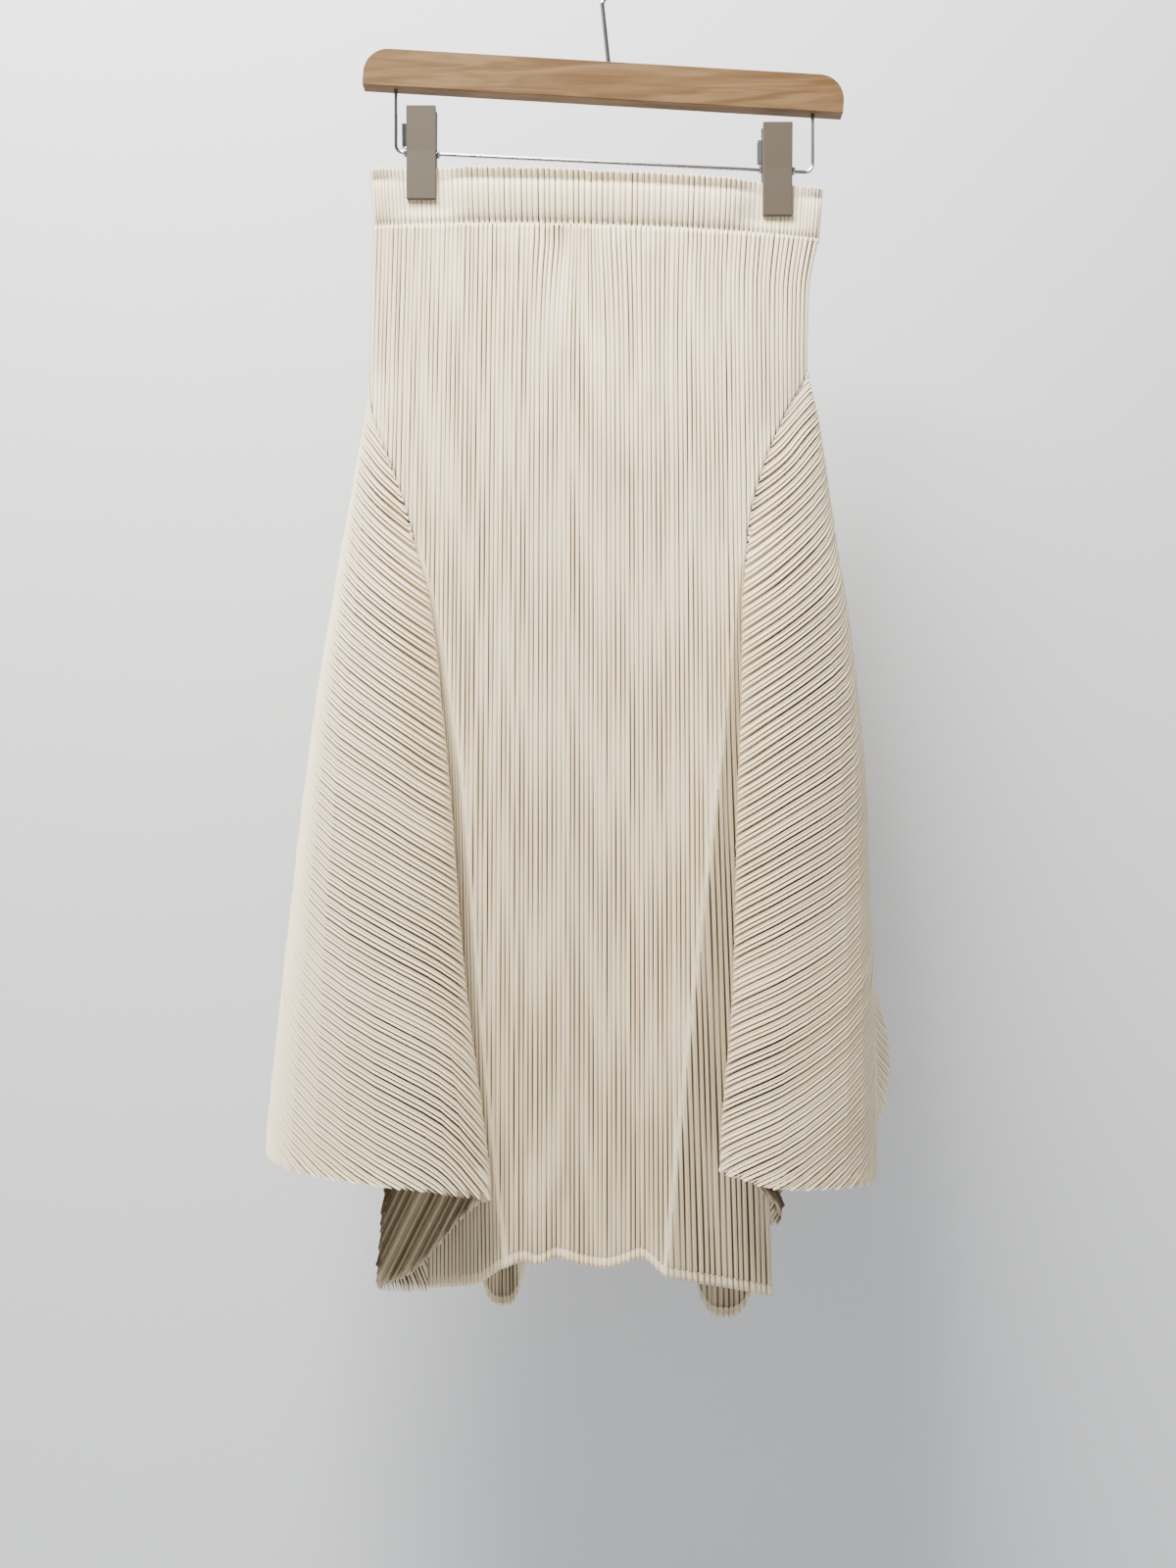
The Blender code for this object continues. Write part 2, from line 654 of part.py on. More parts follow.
def hanger_bar(material):
    """The wooden bar: square below, its two top corners rounded."""
    half_long, half_high = BAR_LENGTH / 2, BAR_HEIGHT / 2
    corner_x, corner_y = half_long - BAR_CORNER, half_high - BAR_CORNER
    outline = arc((corner_x, corner_y), BAR_CORNER, 0, 90, CORNER_STEPS)
    outline += arc((-corner_x, corner_y), BAR_CORNER, 90, 180, CORNER_STEPS)
    outline += [(-half_long, -half_high), (half_long, -half_high)]
    bar = flat_outline("hanger_bar", outline, BAR_THICKNESS, material, BAR_EDGE)
    bar.rotation_euler = (math.pi / 2, BAR_TILT, 0.0)
    bar.location = (0.0, 0.0, BAR_CENTRE_Z * MM)
    bar = as_mesh(bar)
    hook_top = bar_face_z(HOOK_FOOT, 1)
    bore(bar, HOOK_FOOT, hook_top - HOOK_DEEP, hook_top + BORE_OVERRUN, HOOK_WIRE + SEAM_GAP)
    for x in (WIRE_LEFT[0], WIRE_RIGHT[0]):
        underside = bar_face_z(x, -1)
        bore(bar, x, underside - BORE_OVERRUN, underside + WIRE_DEEP, WIRE + SEAM_GAP)
    return bar


def hanger_hook(material):
    """The steel hook: a leaning stem, a bend, and most of a circle whose inside top is the origin."""
    centre_line = HOOK_INSIDE + HOOK_WIRE
    foot_z = bar_face_z(HOOK_FOOT, 1) - HOOK_DEEP + SEAM_GAP
    stem = [(HOOK_FOOT, foot_z), (HOOK_FOOT, bar_face_z(HOOK_FOOT, 1)), HOOK_STEM_TOP]
    circle = arc((0.0, -HOOK_INSIDE), centre_line, *HOOK_ARC, HOOK_ARC_STEPS)
    bend = through([stem[-2], stem[-1], circle[0], circle[1]], HOOK_BEND_STEPS)
    path = stem[:-1] + [tuple(p) for p in bend] + circle[1:]
    return round_wire("hanger_hook", [(x, 0.0, z) for x, z in path], HOOK_WIRE, material)


def clip_wire(material):
    """The lower wire: up into the bar at both ends, with a round bend at each lower corner."""
    (x0, z0), (x1, z1) = WIRE_LEFT, WIRE_RIGHT
    path = [(x0, bar_face_z(x0, -1) + WIRE_DEEP - SEAM_GAP)]
    path += arc((x0 + WIRE_BEND, z0 + WIRE_BEND), WIRE_BEND, 180, WIRE_CORNER, WIRE_BEND_STEPS)
    path += arc((x1 - WIRE_BEND, z1 + WIRE_BEND), WIRE_BEND, WIRE_CORNER, 360, WIRE_BEND_STEPS)
    path += [(x1, bar_face_z(x1, -1) + WIRE_DEEP - SEAM_GAP)]
    return round_wire("clip_wire", [(x, 0.0, z) for x, z in path], WIRE, material)


def clip(side, plastic, steel):
    """One clip: two plastic jaws round the wire, a bent steel leaf between them and a stop each side."""
    x, top = CLIP_X[side], CLIP_TOP_Z[side]
    pivot, bottom = wire_z(x), top - CLIP_HEIGHT
    inside = [(-CLIP_JAW_Y, bottom), (-CLIP_JAW_Y, bottom + CLIP_LIP), (-CLIP_PIVOT_Y, pivot),
              (-CLIP_FINGER_Y, top)]
    outline = inside + [(-CLIP_FINGER_Y - CLIP_PLATE, top),
                        (-CLIP_PIVOT_Y - CLIP_PLATE - CLIP_KNUCKLE, pivot),
                        (-CLIP_JAW_Y - CLIP_PLATE, bottom)]
    for name, mirror in (("clip_front_", 1.0), ("clip_back_", -1.0)):
        profile = [(y * mirror, z) for y, z in outline]
        jaw = flat_outline(name + side, profile, CLIP_WIDTH, plastic, CLIP_EDGE)
        jaw.rotation_euler = (math.pi / 2, 0.0, math.pi / 2)
        jaw.location = (x * MM, 0.0, 0.0)
    leaf = [(y, pivot + up) for y, up in LEAF_PATH]
    leaf = leaf + [(-y, z) for y, z in reversed(leaf[:-1])]
    points = [(x + LEAF_SHIFT + across * LEAF_WIDTH / 2, y, z) for y, z in leaf for across in (-1, 1)]
    faces = [(2 * i, 2 * i + 1, 2 * i + 3, 2 * i + 2) for i in range(len(leaf) - 1)]
    solid_wall("clip_spring_" + side, points, faces, steel, LEAF_THICK)
    for name, away in (("outer", -1.0), ("inner", 1.0)):
        away = away if side == "left" else -away
        stop_x = x + away * (CLIP_WIDTH / 2 + STOP_WIDTH / 2 + STOP_OFF)
        stop_ring("clip_stop_%s_%s" % (side, name), stop_x, steel)


def stop_ring(name, x, material):
    """A small steel ring on the lower wire: a turned section, its inner side just clear of the wire."""
    inner, outer, half = WIRE + SEAM_GAP, STOP_RADIUS, STOP_WIDTH / 2
    profile = [(inner, half), (outer - STOP_EDGE, half), (outer, half - STOP_EDGE),
               (outer, STOP_EDGE - half), (outer - STOP_EDGE, -half), (inner, -half)]
    mesh = bpy.data.meshes.new(name)
    edges = [(i, (i + 1) % len(profile)) for i in range(len(profile))]
    mesh.from_pydata([(r * MM, 0.0, z * MM) for r, z in profile], edges, [])
    ring = bpy.data.objects.new(name, mesh)
    collection.objects.link(ring)
    ring.data.materials.append(material)
    screw = ring.modifiers.new("Turned", "SCREW")
    screw.steps = screw.render_steps = STOP_STEPS
    screw.use_smooth_shade = True
    screw.use_merge_vertices = True
    screw.merge_threshold = WELD
    slope = math.atan2(WIRE_RIGHT[1] - WIRE_LEFT[1], WIRE_RIGHT[0] - WIRE_LEFT[0])
    ring.rotation_euler = (0.0, math.pi / 2 - slope, 0.0)
    ring.location = (x * MM, 0.0, wire_z(x) * MM)
    return ring


def finish_material(name, colour, roughness, metallic=0.0):
    material = bpy.data.materials.new(name)
    material.use_nodes = True
    shader = material.node_tree.nodes["Principled BSDF"]
    shader.inputs["Base Color"].default_value = (*colour, 1.0)
    shader.inputs["Roughness"].default_value = roughness
    shader.inputs["Metallic"].default_value = metallic
    return material


for leftover in list(bpy.data.objects):
    bpy.data.objects.remove(leftover)
collection = bpy.data.collections.new("pleated_skirt_on_hanger")
bpy.context.scene.collection.children.link(collection)
cutters = bpy.data.collections.new("cutters")
bpy.context.scene.collection.children.link(cutters)

cloth = finish_material("pleated_cloth", (0.80, 0.76, 0.66), 0.6)

panel("front_panel", "front", FRONT_HEM, (), cloth)
panel("back_panel", "back", BACK_HEM, TONGUES, cloth)
for side in ("left", "right"):
    side_panel(side, cloth)
waistband(cloth)

wood = finish_material("beech", (0.56, 0.38, 0.22), 0.5)
steel = finish_material("bright_steel", (0.62, 0.62, 0.64), 0.25, 1.0)
plastic = finish_material("grey_plastic", (0.35, 0.30, 0.25), 0.45)

hanger_bar(wood)
hanger_hook(steel)
clip_wire(steel)
for side in ("left", "right"):
    clip(side, plastic, steel)
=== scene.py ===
# %% [markdown]
# # A pleated A-line skirt on a clip hanger
#
# The skirt is made of five pieces of finely pleated cloth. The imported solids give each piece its
# place and its wide folds. This lesson lays the fine pleats on them, and the sewing, as a tailor
# would see them. All sizes are in millimetres until a point goes into a mesh.

import math

import bpy
import numpy as np
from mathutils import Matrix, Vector


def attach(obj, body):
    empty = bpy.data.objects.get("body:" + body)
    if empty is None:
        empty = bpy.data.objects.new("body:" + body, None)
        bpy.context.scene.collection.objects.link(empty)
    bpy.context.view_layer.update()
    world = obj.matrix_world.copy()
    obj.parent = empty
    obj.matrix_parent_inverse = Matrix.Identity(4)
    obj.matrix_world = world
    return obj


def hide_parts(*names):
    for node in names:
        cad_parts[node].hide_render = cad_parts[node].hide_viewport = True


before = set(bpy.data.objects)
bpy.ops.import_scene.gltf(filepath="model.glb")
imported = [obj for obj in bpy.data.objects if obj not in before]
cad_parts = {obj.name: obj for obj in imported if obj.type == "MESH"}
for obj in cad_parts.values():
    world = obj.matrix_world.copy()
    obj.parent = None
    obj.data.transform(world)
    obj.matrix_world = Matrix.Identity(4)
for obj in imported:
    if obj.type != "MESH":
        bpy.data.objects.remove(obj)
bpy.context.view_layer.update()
MM = 0.001

# %% [markdown]
# ## The family of level sections
#
# The cloth hangs in one connected form. Going out from the front centre line, a level cut meets
# the crease where the front panel folds back, the seam, the turn of the side panel, the roll where
# the flap comes forward, its bulge and the side. Two short tables hold these lines level by level,
# so every piece is laid on the same surface and the pieces meet at their seams.

# %% The lines of the folds
CENTRE_X = -8.0
BACK_DEPTH = 0.94

PLAN_COLUMNS = ("z", "crease", "seam", "turn", "roll", "side")
PLANS = {
    "left": (
        (-216, 160, 160, 160, 160, 160),
        (-314, 163, 163, 163, 163, 163),
        (-338, 161.8, 162, 162.2, 162.4, 163.6),
        (-356, 158.2, 158.6, 159.2, 159.8, 165.2),
        (-373, 151.7, 152.2, 153, 153.9, 168),
        (-391, 144, 144.6, 145.5, 146.5, 171),
        (-439, 127, 128.5, 130.5, 132, 179.6),
        (-492, 112, 117, 121, 115.5, 188.5),
        (-569, 99, 113, 120, 106, 201),
        (-621, 91, 113, 123, 100, 207.5),
        (-749, 80, 114, 132, 89, 222),
        (-868, 69, 115, 143, 73, 235),
        (-979, 56, 116, 153, 62, 247),
        (-1045, 50, 117, 157, 58, 254),
    ),
    "right": (
        (-216, 166, 166, 166, 166, 166),
        (-262, 158, 158, 158, 158, 158),
        (-314, 157, 157, 157, 157, 157),
        (-356, 137, 137.5, 138.5, 140, 164),
        (-391, 122, 122.7, 124, 126, 169),
        (-439, 108.5, 110, 112, 114, 175.5),
        (-492, 100, 106, 110.5, 106.5, 184),
        (-569, 92.6, 110, 117, 104, 192.7),
        (-621, 86.7, 113, 121, 101, 197),
        (-749, 71, 119, 127, 96.8, 201),
        (-868, 58, 123, 131, 86.8, 204),
        (-979, 47, 126, 135, 79, 207),
        (-1045, 41, 128, 137, 76, 209),
    ),
}

DEPTH_COLUMNS = ("z", "face", "crease", "seam", "turn", "roll", "bulge")
DEPTHS = (
    (-216, 6, 1.6, 1.6, 1.6, 1.6, 1.6),
    (-260, 14, 1.6, 1.6, 1.6, 1.6, 1.6),
    (-314, 23, 1.6, 1.6, 1.6, 1.6, 1.6),
    (-356, 30, 12, 11.5, 11, 10.5, 9),
    (-391, 35, 25, 24.5, 24, 24, 23),
    (-439, 40, 36.5, 35.5, 35, 36, 38),
    (-492, 46, 44, 38, 37.5, 50, 56),
    (-569, 53, 52.5, 38.5, 36.5, 63, 72),
    (-621, 58, 58, 40, 36.5, 72, 82),
    (-749, 66, 67, 43, 40, 84, 96),
    (-868, 72, 74, 45, 44, 92, 105),
    (-979, 76, 79, 47, 48, 98, 111),
    (-1045, 78, 81, 48, 50, 101, 114),
)
FACE_SQUARENESS = 4
EDGE_DRIFT = 3
BULGE_SHARE = 0.32
SHOULDER_OUT = 0.74
SHOULDER_DEEP = 0.68
LEAD_IN = 8.0


def smooth(xs, ys, x):
    """Values between the rows of a table, on a curve that doesn't overshoot."""
    xs = np.asarray(xs, float)
    ys = np.asarray(ys, float)
    if xs[0] > xs[-1]:
        xs, ys = xs[::-1], ys[::-1]
    step = np.diff(xs)
    slope = np.diff(ys) / step
    tangent = np.zeros(len(xs))
    rising = slope[:-1] * slope[1:] > 0
    tangent[1:-1][rising] = 2 * (slope[:-1] * slope[1:])[rising] / (slope[:-1] + slope[1:])[rising]
    tangent[0], tangent[-1] = slope[0], slope[-1]
    x = np.clip(x, xs[0], xs[-1])
    i = np.clip(np.searchsorted(xs, x, side="right") - 1, 0, len(step) - 1)
    t = (x - xs[i]) / step[i]
    return (ys[i] * (1 + 2 * t) * (1 - t) ** 2 + tangent[i] * step[i] * t * (1 - t) ** 2
            + ys[i + 1] * t * t * (3 - 2 * t) - tangent[i + 1] * step[i] * t * t * (1 - t))


def columns(rows, names):
    return {name: np.array([row[i] for row in rows], float) for i, name in enumerate(names)}


PLAN_TABLES = {side: columns(rows, PLAN_COLUMNS) for side, rows in PLANS.items()}
DEPTH_TABLE = columns(DEPTHS, DEPTH_COLUMNS)


def plan(side, line, z):
    return smooth(PLAN_TABLES[side]["z"], PLAN_TABLES[side][line], z)


def depth(line, z):
    return smooth(DEPTH_TABLE["z"], DEPTH_TABLE[line], z)


def between(start, end, share):
    return start + (end - start) * share


print("half widths at the hem:", {side: float(plan(side, "side", -890.0)) for side in PLANS})

# %% [markdown]
# ## From a grid of points to cloth
#
# Every piece starts as a grid of points on the wide form. The pleats are then raised from it along
# the grid's own normals, so a pleat stands square to the cloth wherever the cloth turns. Each point
# also keeps how deep it lies in a fold, which the material uses: real grooves, and cloth that lies
# deep between the flaps, hold less light and look warmer. Soft creases are listed as ridges or
# troughs along a line, each a row of its start, end, width and height.

# %% Grid helpers
CLOTH_THICKNESS = 0.4
PLEAT_ANGLE = math.radians(28)
WELD_DISTANCE = 0.00002
ROOT = "root"
LEAST_DEPTH, MOST_DEPTH = 0.55, 1.25
DEEPER, DEEPER_CHANCE = 1.3, 0.18
RIDGE_FOLLOWS = 0.4
# The painted shade in a groove grows with the pleat's depth, up to this.
DARKEST = 1.2


def grid_normals(grid):
    """The unit normal at each point of a grid of rows and columns."""
    down = np.gradient(grid, axis=0)
    along = np.gradient(grid, axis=1)
    normal = np.cross(down, along)
    size = np.linalg.norm(normal, axis=2, keepdims=True)
    return normal / np.maximum(size, 1e-9)


def soft_lines(lines, u, v):
    """The height that listed soft ridges and troughs add at points (u, v)."""
    total = np.zeros(np.broadcast(u, v).shape)
    for (u0, v0), (u1, v1), width, height in lines:
        length2 = (u1 - u0) ** 2 + (v1 - v0) ** 2
        t = ((u - u0) * (u1 - u0) + (v - v0) * (v1 - v0)) / length2
        nearest = np.clip(t, 0.0, 1.0)
        away2 = (u - between(u0, u1, nearest)) ** 2 + (v - between(v0, v1, nearest)) ** 2
        total = total + height * np.exp(-away2 / (2 * width ** 2))
    return total


def cloth_object(name, grids, material, thickness=CLOTH_THICKNESS):
    """One mesh from grids of (points, painted shade, turned over), welded where they meet, as a thin shell.
    """
    points, faces, painted_shades = [], [], []
    for grid, painted_shade, turned in grids:
        rows, across = grid.shape[:2]
        first = len(points)
        points += [tuple(p * MM) for p in grid.reshape(-1, 3)]
        painted_shades += list(np.broadcast_to(painted_shade, (rows, across)).reshape(-1))
        for r in range(rows - 1):
            for c in range(across - 1):
                a = first + r * across + c
                face = (a, a + 1, a + across + 1, a + across)
                faces.append(face[::-1] if turned else face)
    mesh = bpy.data.meshes.new(name)
    mesh.from_pydata(points, [], faces)
    # The value stored on each point is painted shade, which the material mixes into the cloth's colour.
    mesh.attributes.new("painted_shade", "FLOAT", "POINT").data.foreach_set("value", np.array(painted_shades, np.float32))
    mesh.shade_smooth()
    mesh.set_sharp_from_angle(angle=PLEAT_ANGLE)
    piece = bpy.data.objects.new(name, mesh)
    bpy.context.scene.collection.objects.link(piece)
    mesh.materials.append(material)
    weld = piece.modifiers.new("Seams", "WELD")
    weld.merge_threshold = WELD_DISTANCE
    shell = piece.modifiers.new("Cloth", "SOLIDIFY")
    shell.thickness = thickness * MM
    shell.offset = 0.0
    return piece


def belongs(piece, slot, *nodes):
    """The piece rides on the body and stands for its solids, which it hides. The slot is not used."""
    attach(piece, ROOT)
    if nodes:
        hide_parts(*nodes)
    return piece


def pleat_lines(start, end, pitch, profile, wander, seed):
    """Where the lines of a run of pleats lie, with each line's height, and how much painted shade its groove
    takes.
    """
    random = np.random.default_rng(seed)
    count = round((end - start) / pitch)
    edges = np.linspace(start, end, count + 1)
    edges[1:-1] += random.uniform(-wander, wander, count - 1) * pitch
    where, height, groove_shade = [], [], []
    for k in range(count):
        deep = random.uniform(LEAST_DEPTH, MOST_DEPTH)
        deep *= DEEPER if random.random() < DEEPER_CHANCE else 1.0
        for share, up in profile:
            where.append(between(edges[k], edges[k + 1], share))
            height.append(up * deep if up < 0 else up * between(1.0, deep, RIDGE_FOLLOWS))
            groove_shade.append(max(-up, 0.0) * min(deep, DARKEST))
    where.append(edges[-1])
    height.append(profile[0][1])
    groove_shade.append(max(-profile[0][1], 0.0))
    return np.array(where), np.array(height), np.array(groove_shade)


print("a pleat's depth runs from", LEAST_DEPTH, "to", MOST_DEPTH * DEEPER, "of its profile")

# %% [markdown]
# ## The materials
#
# The cloth is an ivory polyester with a fine weave and a slight satin sheen. Its grooves, and the
# cloth that lies deep between the flaps, are given painted shade: each point's stored value mixes in a
# darker, warmer tan. A fine noise breaks up the weave. The hanger is lacquered beech with long
# grain, plated steel wire and smooth taupe plastic. The sewing thread is the cloth's colour, a little
# lighter. Weave and grain are both a noise that bumps the surface, so that noise is built once as a
# node group and each material sets its own sizes.

# %% Materials
IVORY = (0.93, 0.81, 0.58, 1.0)
IVORY_WARM = (0.86, 0.73, 0.48, 1.0)
# The dark warm tan that painted shade mixes into the cloth.
PAINTED_SHADE_COLOUR = (0.10, 0.062, 0.026, 1.0)
THREAD = (0.93, 0.83, 0.63, 1.0)
BEECH_LIGHT = (0.165, 0.097, 0.042, 1.0)
BEECH_DARK = (0.103, 0.054, 0.020, 1.0)
TAUPE = (0.082, 0.066, 0.048, 1.0)
STEEL = (0.32, 0.32, 0.33, 1.0)
GROOVE_SHARPNESS = 0.9
GRAIN_STRETCH = (3.0, 34.0, 34.0)
GRAIN_SLOPE = math.radians(-1.5)
GRAIN_DARK, GRAIN_LIGHT = 0.36, 0.60
RELIEF_INPUTS = ("Scale", "Detail", "Distortion", "Strength", "Distance")
WEAVE = {"Scale": 1400.0, "Detail": 1.0, "Distortion": 0.0, "Strength": 0.25, "Distance": 0.0002}
GRAIN = {"Scale": 3.0, "Detail": 6.0, "Distortion": 1.6, "Strength": 0.1, "Distance": 0.0003}
COLOUR_A, COLOUR_B, COLOUR_RESULT = 6, 7, 2


def new_material(name, **values):
    material = bpy.data.materials.new(name)
    material.use_nodes = True
    shader = material.node_tree.nodes["Principled BSDF"]
    for key, value in values.items():
        shader.inputs[key.replace("_", " ")].default_value = value
    return material, material.node_tree, shader


def add_node(tree, kind, **values):
    node = tree.nodes.new(kind)
    for key, value in values.items():
        node.inputs[key].default_value = value
    return node


def mixed_colour(tree, factor, first, second):
    """A colour mix of two colours or sockets by a factor socket."""
    mix = tree.nodes.new("ShaderNodeMix")
    mix.data_type = "RGBA"
    tree.links.new(factor, mix.inputs["Factor"])
    for socket, value in ((mix.inputs[COLOUR_A], first), (mix.inputs[COLOUR_B], second)):
        if isinstance(value, tuple):
            socket.default_value = value
        else:
            tree.links.new(value, socket)
    return mix.outputs[COLOUR_RESULT]


def fine_relief():
    """A node group: a noise of a given size, and the bumped normal that it makes."""
    group = bpy.data.node_groups.new("fine_relief", "ShaderNodeTree")
    group.interface.new_socket("Vector", in_out="INPUT", socket_type="NodeSocketVector")
    for name in RELIEF_INPUTS:
        group.interface.new_socket(name, in_out="INPUT", socket_type="NodeSocketFloat")
    group.interface.new_socket("Height", in_out="OUTPUT", socket_type="NodeSocketFloat")
    group.interface.new_socket("Normal", in_out="OUTPUT", socket_type="NodeSocketVector")
    given = group.nodes.new("NodeGroupInput")
    result = group.nodes.new("NodeGroupOutput")
    noise = group.nodes.new("ShaderNodeTexNoise")
    bump = group.nodes.new("ShaderNodeBump")
    for name in ("Vector", "Scale", "Detail", "Distortion"):
        group.links.new(given.outputs[name], noise.inputs[name])
    for name in ("Strength", "Distance"):
        group.links.new(given.outputs[name], bump.inputs[name])
    group.links.new(noise.outputs["Fac"], bump.inputs["Height"])
    group.links.new(noise.outputs["Fac"], result.inputs["Height"])
    group.links.new(bump.outputs["Normal"], result.inputs["Normal"])
    return group


FINE_RELIEF = fine_relief()


def add_relief(tree, vector, shader, sizes):
    """The shared relief on a shader's normal, with this material's own sizes."""
    relief = tree.nodes.new("ShaderNodeGroup")
    relief.node_tree = FINE_RELIEF
    for name, value in sizes.items():
        relief.inputs[name].default_value = value
    tree.links.new(vector, relief.inputs["Vector"])
    tree.links.new(relief.outputs["Normal"], shader.inputs["Normal"])
    return relief


print("relief group:", FINE_RELIEF.name, "with", len(FINE_RELIEF.nodes), "nodes")

# %% [markdown]
# ### Ivory cloth and beech
#
# The cloth's colour drifts between two ivories, and painted shade darkens it in the grooves. The
# beech is a noise stretched along the bar, which makes long grain.

# %% Cloth and beech


def cloth_material():
    material, tree, shader = new_material("ivory_cloth", Roughness=0.5, Specular_IOR_Level=0.3,
                                          Sheen_Weight=0.06, Sheen_Roughness=0.4)
    place = tree.nodes.new("ShaderNodeTexCoord")
    patches = add_node(tree, "ShaderNodeTexNoise", Scale=9.0, Detail=2.0)
    tree.links.new(place.outputs["Object"], patches.inputs["Vector"])
    base = mixed_colour(tree, patches.outputs["Fac"], IVORY, IVORY_WARM)
    # Painted shade: each point's stored value mixes a dark warm tan into the cloth in grooves and recesses.
    painted_shade = tree.nodes.new("ShaderNodeAttribute")
    painted_shade.attribute_name = "painted_shade"
    strength = add_node(tree, "ShaderNodeMath")
    strength.operation = "POWER"
    strength.inputs[1].default_value = GROOVE_SHARPNESS
    strength.use_clamp = True
    tree.links.new(painted_shade.outputs["Fac"], strength.inputs[0])
    tree.links.new(mixed_colour(tree, strength.outputs[0], base, PAINTED_SHADE_COLOUR), shader.inputs["Base Color"])
    add_relief(tree, place.outputs["Object"], shader, WEAVE)
    return material


def beech_material():
    material, tree, shader = new_material("beech", Roughness=0.6, Specular_IOR_Level=0.12)
    place = tree.nodes.new("ShaderNodeTexCoord")
    stretch = tree.nodes.new("ShaderNodeMapping")
    stretch.inputs["Scale"].default_value = GRAIN_STRETCH
    stretch.inputs["Rotation"].default_value = (0.0, GRAIN_SLOPE, 0.0)
    tree.links.new(place.outputs["Object"], stretch.inputs["Vector"])
    grain = add_relief(tree, stretch.outputs["Vector"], shader, GRAIN)
    contrast = tree.nodes.new("ShaderNodeMapRange")
    contrast.inputs["From Min"].default_value = GRAIN_DARK
    contrast.inputs["From Max"].default_value = GRAIN_LIGHT
    tree.links.new(grain.outputs["Height"], contrast.inputs["Value"])
    colour = mixed_colour(tree, contrast.outputs["Result"], BEECH_DARK, BEECH_LIGHT)
    tree.links.new(colour, shader.inputs["Base Color"])
    return material


cloth = cloth_material()
thread, _, _ = new_material("thread", Base_Color=THREAD, Roughness=0.6)
beech = beech_material()
steel, _, _ = new_material("plated_steel", Base_Color=STEEL, Roughness=0.2, Metallic=1.0)
taupe, _, _ = new_material("taupe_plastic", Base_Color=TAUPE, Roughness=0.5, Specular_IOR_Level=0.2)
print("materials:", [material.name for material in (cloth, thread, beech, steel, taupe)])

# %% [markdown]
# ## The hanger
#
# The hanger's solids already have their true shapes: a bar sawn from beech, a bent wire hook and
# lower wire, and two moulded clips with steel leaves and stops. They only take their materials.

# %% Dress the hanger
HANGER_MATERIALS = {"hanger_bar": beech, "clip_front": taupe, "clip_back": taupe}


def hanger_material(node):
    for start, material in HANGER_MATERIALS.items():
        if node.startswith(start):
            return material
    return steel


CLOTH_NODES = ("front_panel", "back_panel", "side_panel_left", "side_panel_right", "waistband")
for name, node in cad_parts.items():
    if name not in CLOTH_NODES:
        node.data.materials.clear()
        node.data.materials.append(hanger_material(name))
print("hanger nodes dressed:", len(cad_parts) - len(CLOTH_NODES))

# %% [markdown]
# ## The front and back panels
#
# Each panel is a straight strip of cloth with about a hundred narrow vertical pleats, cut away along
# a curve at each hip where the side panel is let in. Above the hip the two panels are sewn edge to
# edge, so they close to nothing there. The pleats run straight down the cloth, so below the hip they
# follow it round the crease and back along the shaded strip. The pitch is measured across the cloth
# and wanders a little, as heat-set pleats do. The lowest 7 mm are a narrow hem.

# %% The sizes of the panels
BAND_SEAM_Z = -220.0
BAND_TILT = 0.0293
BAND_CROWN = 5.0
BAND_HALF = 165.0
HIP_POINT_Z = -314.0
FOLD_START_Z = -450.0
FRONT_HEM = ((-125, -974), (-85, -966), (-62, -952), (-48, -947), (-38, -950), (-26, -946), (-8, -950),
             (8, -952), (22, -949), (32, -946), (48, -957), (80, -969), (112, -981))
BACK_HEM = ((-125, -955), (-62, -975), (0, -962), (48, -970), (112, -960))
TONGUES = ((-71.0, 20.0, 48.0), (88.0, 19.0, 62.0))
PANEL_PITCH = 3.2
FRONT_PROFILE = ((0.0, -1.0), (0.27, 0.5), (0.42, 0.95), (0.55, 0.45), (0.66, 1.0), (0.78, 0.55))
BACK_PROFILE = ((0.0, -1.0), (0.25, 0.6), (0.5, 1.0), (0.77, 0.6))
PANEL_PLEAT = 0.72
PANEL_PLEAT_AT_HEM = 0.95
PLEAT_BREATH = 0.38
BREATH_LENGTH = 150.0
QUICK_BREATH, QUICK_PHASE, QUICK_SHARE = 5.1, 2.3, 0.5
BREATH_ON_HEIGHT = 0.7
HASH_STEP, HASH_SIZE = 12.9898, 43758.5453
PANEL_WANDER = 0.13
FRONT_SEED, BACK_SEED = 7, 19
PLEAT_CHANGE = 260.0
ROW_CROWDING = 1.25
HEM_CLEAR = 3.0
ROWS_ABOVE = 26
ROWS_BELOW = 44
HEM_ROWS = (9.0, 8.0, 7.0, 6.2, 3.0, 0.0)
STITCH_ROW = 7.0
STITCH_WIDTH = 0.8
STITCH_FLAT = 0.5
